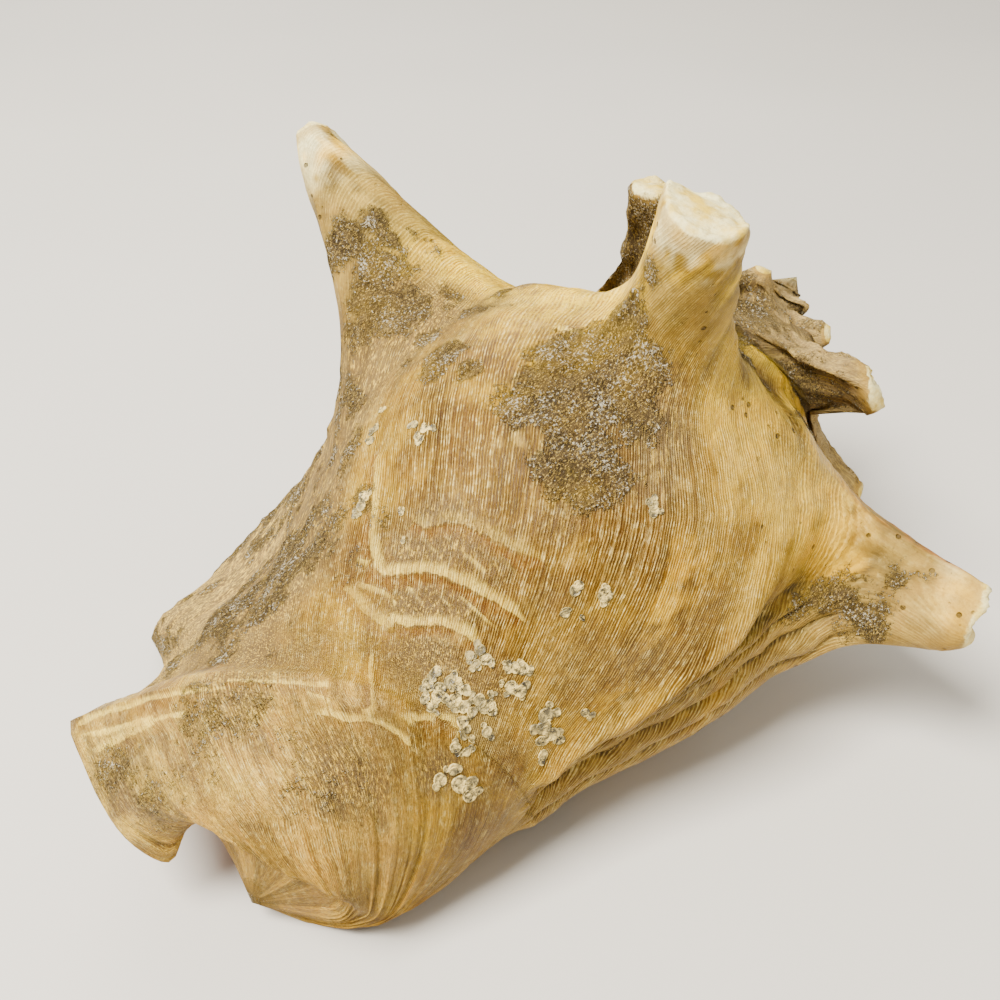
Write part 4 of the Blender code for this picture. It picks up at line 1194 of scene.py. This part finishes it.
def spat_mesh(surface_mesh):
    """Every spat as a low round scale with a raised rim, lying on the shell."""
    tree = BVHTree.FromPolygons([vertex.co for vertex in surface_mesh.vertices],
                                [tuple(face.vertices) for face in surface_mesh.polygons])
    chance = np.random.default_rng(5)
    profile = ((0.0, 0.20), (0.35, 0.10), (0.7, 0.12), (0.88, 0.30), (0.96, 0.26), (1.0, -0.12))
    segments = 14
    points = []
    faces = []
    everyone = list(SPAT)
    for x, y, z, radius in SPAT:
        for share in chance.uniform(0.45, 0.8, 2):
            away = chance.normal(0.0, 1.0, 3)
            away *= 1.25 * radius / np.linalg.norm(away)
            everyone.append((x + away[0], y + away[1], z + away[2], radius * share))
    for x, y, z, radius in everyone:
        centre = Vector(((np.array((x, y, z)) - ORIGIN) * MM).tolist())
        spot, normal, _, _ = tree.find_nearest(centre)
        side = normal.orthogonal().normalized()
        other = normal.cross(side)
        wobble = chance.uniform(-0.12, 0.12, 4)
        start = len(points)
        for ring, (share, lift) in enumerate(profile):
            for step in range(segments if ring else 1):
                turn = 2 * math.pi * step / segments
                uneven = wobble @ (math.cos(turn), math.sin(2 * turn), math.cos(3 * turn), 0)
                reach = radius * share * (1 + uneven)
                at = spot + (side * math.cos(turn) + other * math.sin(turn)) * reach * MM
                near, up, _, _ = tree.find_nearest(at)
                top = near + (up * 0.4 + normal * 0.6) * lift * (0.8 + 0.25 * radius) * MM
                points.append(np.array(top) / MM + ORIGIN)
        for step in range(segments):
            after = (step + 1) % segments
            faces.append((start, start + 1 + step, start + 1 + after))
            for ring in range(len(profile) - 2):
                low = start + 1 + ring * segments
                high = low + segments
                faces.append((low + step, high + step, high + after, low + after))
        low = start + 1 + (len(profile) - 2) * segments
        points.append(np.array(spot - normal * 0.35 * MM) / MM + ORIGIN)
        bottom = len(points) - 1
        for step in range(segments):
            faces.append((low + step, bottom, low + (step + 1) % segments))
    return finished_mesh("spat", points, faces)


def spat_material():
    """Silver grey scale, mottled and slightly shiny."""
    g = Graph("spat_scale")
    mottle = g.noise(g.place(), 800.0, 3.0, 0.75)
    cloud = g.noise(g.place(), 260.0, 2.0, 0.6)
    colour = g.mix(g.span(mottle, 0.38, 0.62), "spat dark", "spat light")
    colour = g.mix(g.span(cloud, 0.45, 0.6, 0.0, 0.6), colour, "spat grey")
    g.put(g.shader.inputs["Base Color"], colour)
    g.put(g.shader.inputs["Roughness"], g.span(mottle, 0.3, 0.7, 0.25, 0.5))
    g.shader.inputs["Specular IOR Level"].default_value = 0.35
    g.put(g.shader.inputs["Normal"], g.bump(mottle, 0.0004))
    return g.material


def add_stage():
    """Pale floor and soft light."""
    mesh = bpy.data.meshes.new("floor")
    corners = [(x * FLOOR_SIZE, y * FLOOR_SIZE, 0) for x, y in ((-1, -1), (1, -1), (1, 1), (-1, 1))]
    mesh.from_pydata(corners, [], [(0, 1, 2, 3)])
    g = Graph("floor")
    shade = g.noise(g.place(), 3.0, 2.0)
    g.put(g.shader.inputs["Base Color"], g.mix(shade, "floor dark", "floor light"))
    g.put(g.shader.inputs["Roughness"], 0.9)
    floor = link("floor", mesh, g.material)
    world = bpy.data.worlds.new("studio")
    world.use_nodes = True
    sky = world.node_tree.nodes["Background"]
    for socket, value in zip(sky.inputs, WORLD_LIGHT):
        socket.default_value = value
    bpy.context.scene.world = world
    for name, spot, size, power in LIGHTS:
        light = bpy.data.lights.new(name, "AREA")
        light.size = size
        light.energy = power
        lamp = bpy.data.objects.new(name, light)
        lamp.location = spot
        aim = Vector((0, 0, LIGHT_AIM)) - Vector(spot)
        lamp.rotation_euler = aim.to_track_quat("-Z", "Y").to_euler()
        bpy.context.scene.collection.objects.link(lamp)


def add_camera():
    """Camera where the photo was taken from."""
    camera = bpy.data.cameras.new("camera")
    camera.sensor_width = SENSOR
    camera.lens = SENSOR / 2 / math.tan(math.radians(VIEW_ANGLE / 2))
    camera.clip_start = 0.01
    holder = bpy.data.objects.new("camera", camera)
    holder.location = CAMERA_SPOT
    aim = Vector(CAMERA_AIM) - Vector(CAMERA_SPOT)
    holder.rotation_euler = aim.to_track_quat("-Z", "Y").to_euler()
    bpy.context.scene.collection.objects.link(holder)
    bpy.context.scene.camera = holder


surface = shell_surface()
shell = link("conch_skin",
             finished_mesh("conch_skin", np.concatenate(surface.points), surface.faces,
                           np.concatenate(surface.fields), Surface.FIELDS),
             shell_material())
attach(shell, "root")
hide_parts("conch_shell")
spat = link("spat", spat_mesh(shell.data), spat_material())
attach(spat, "root")
add_stage()
add_camera()
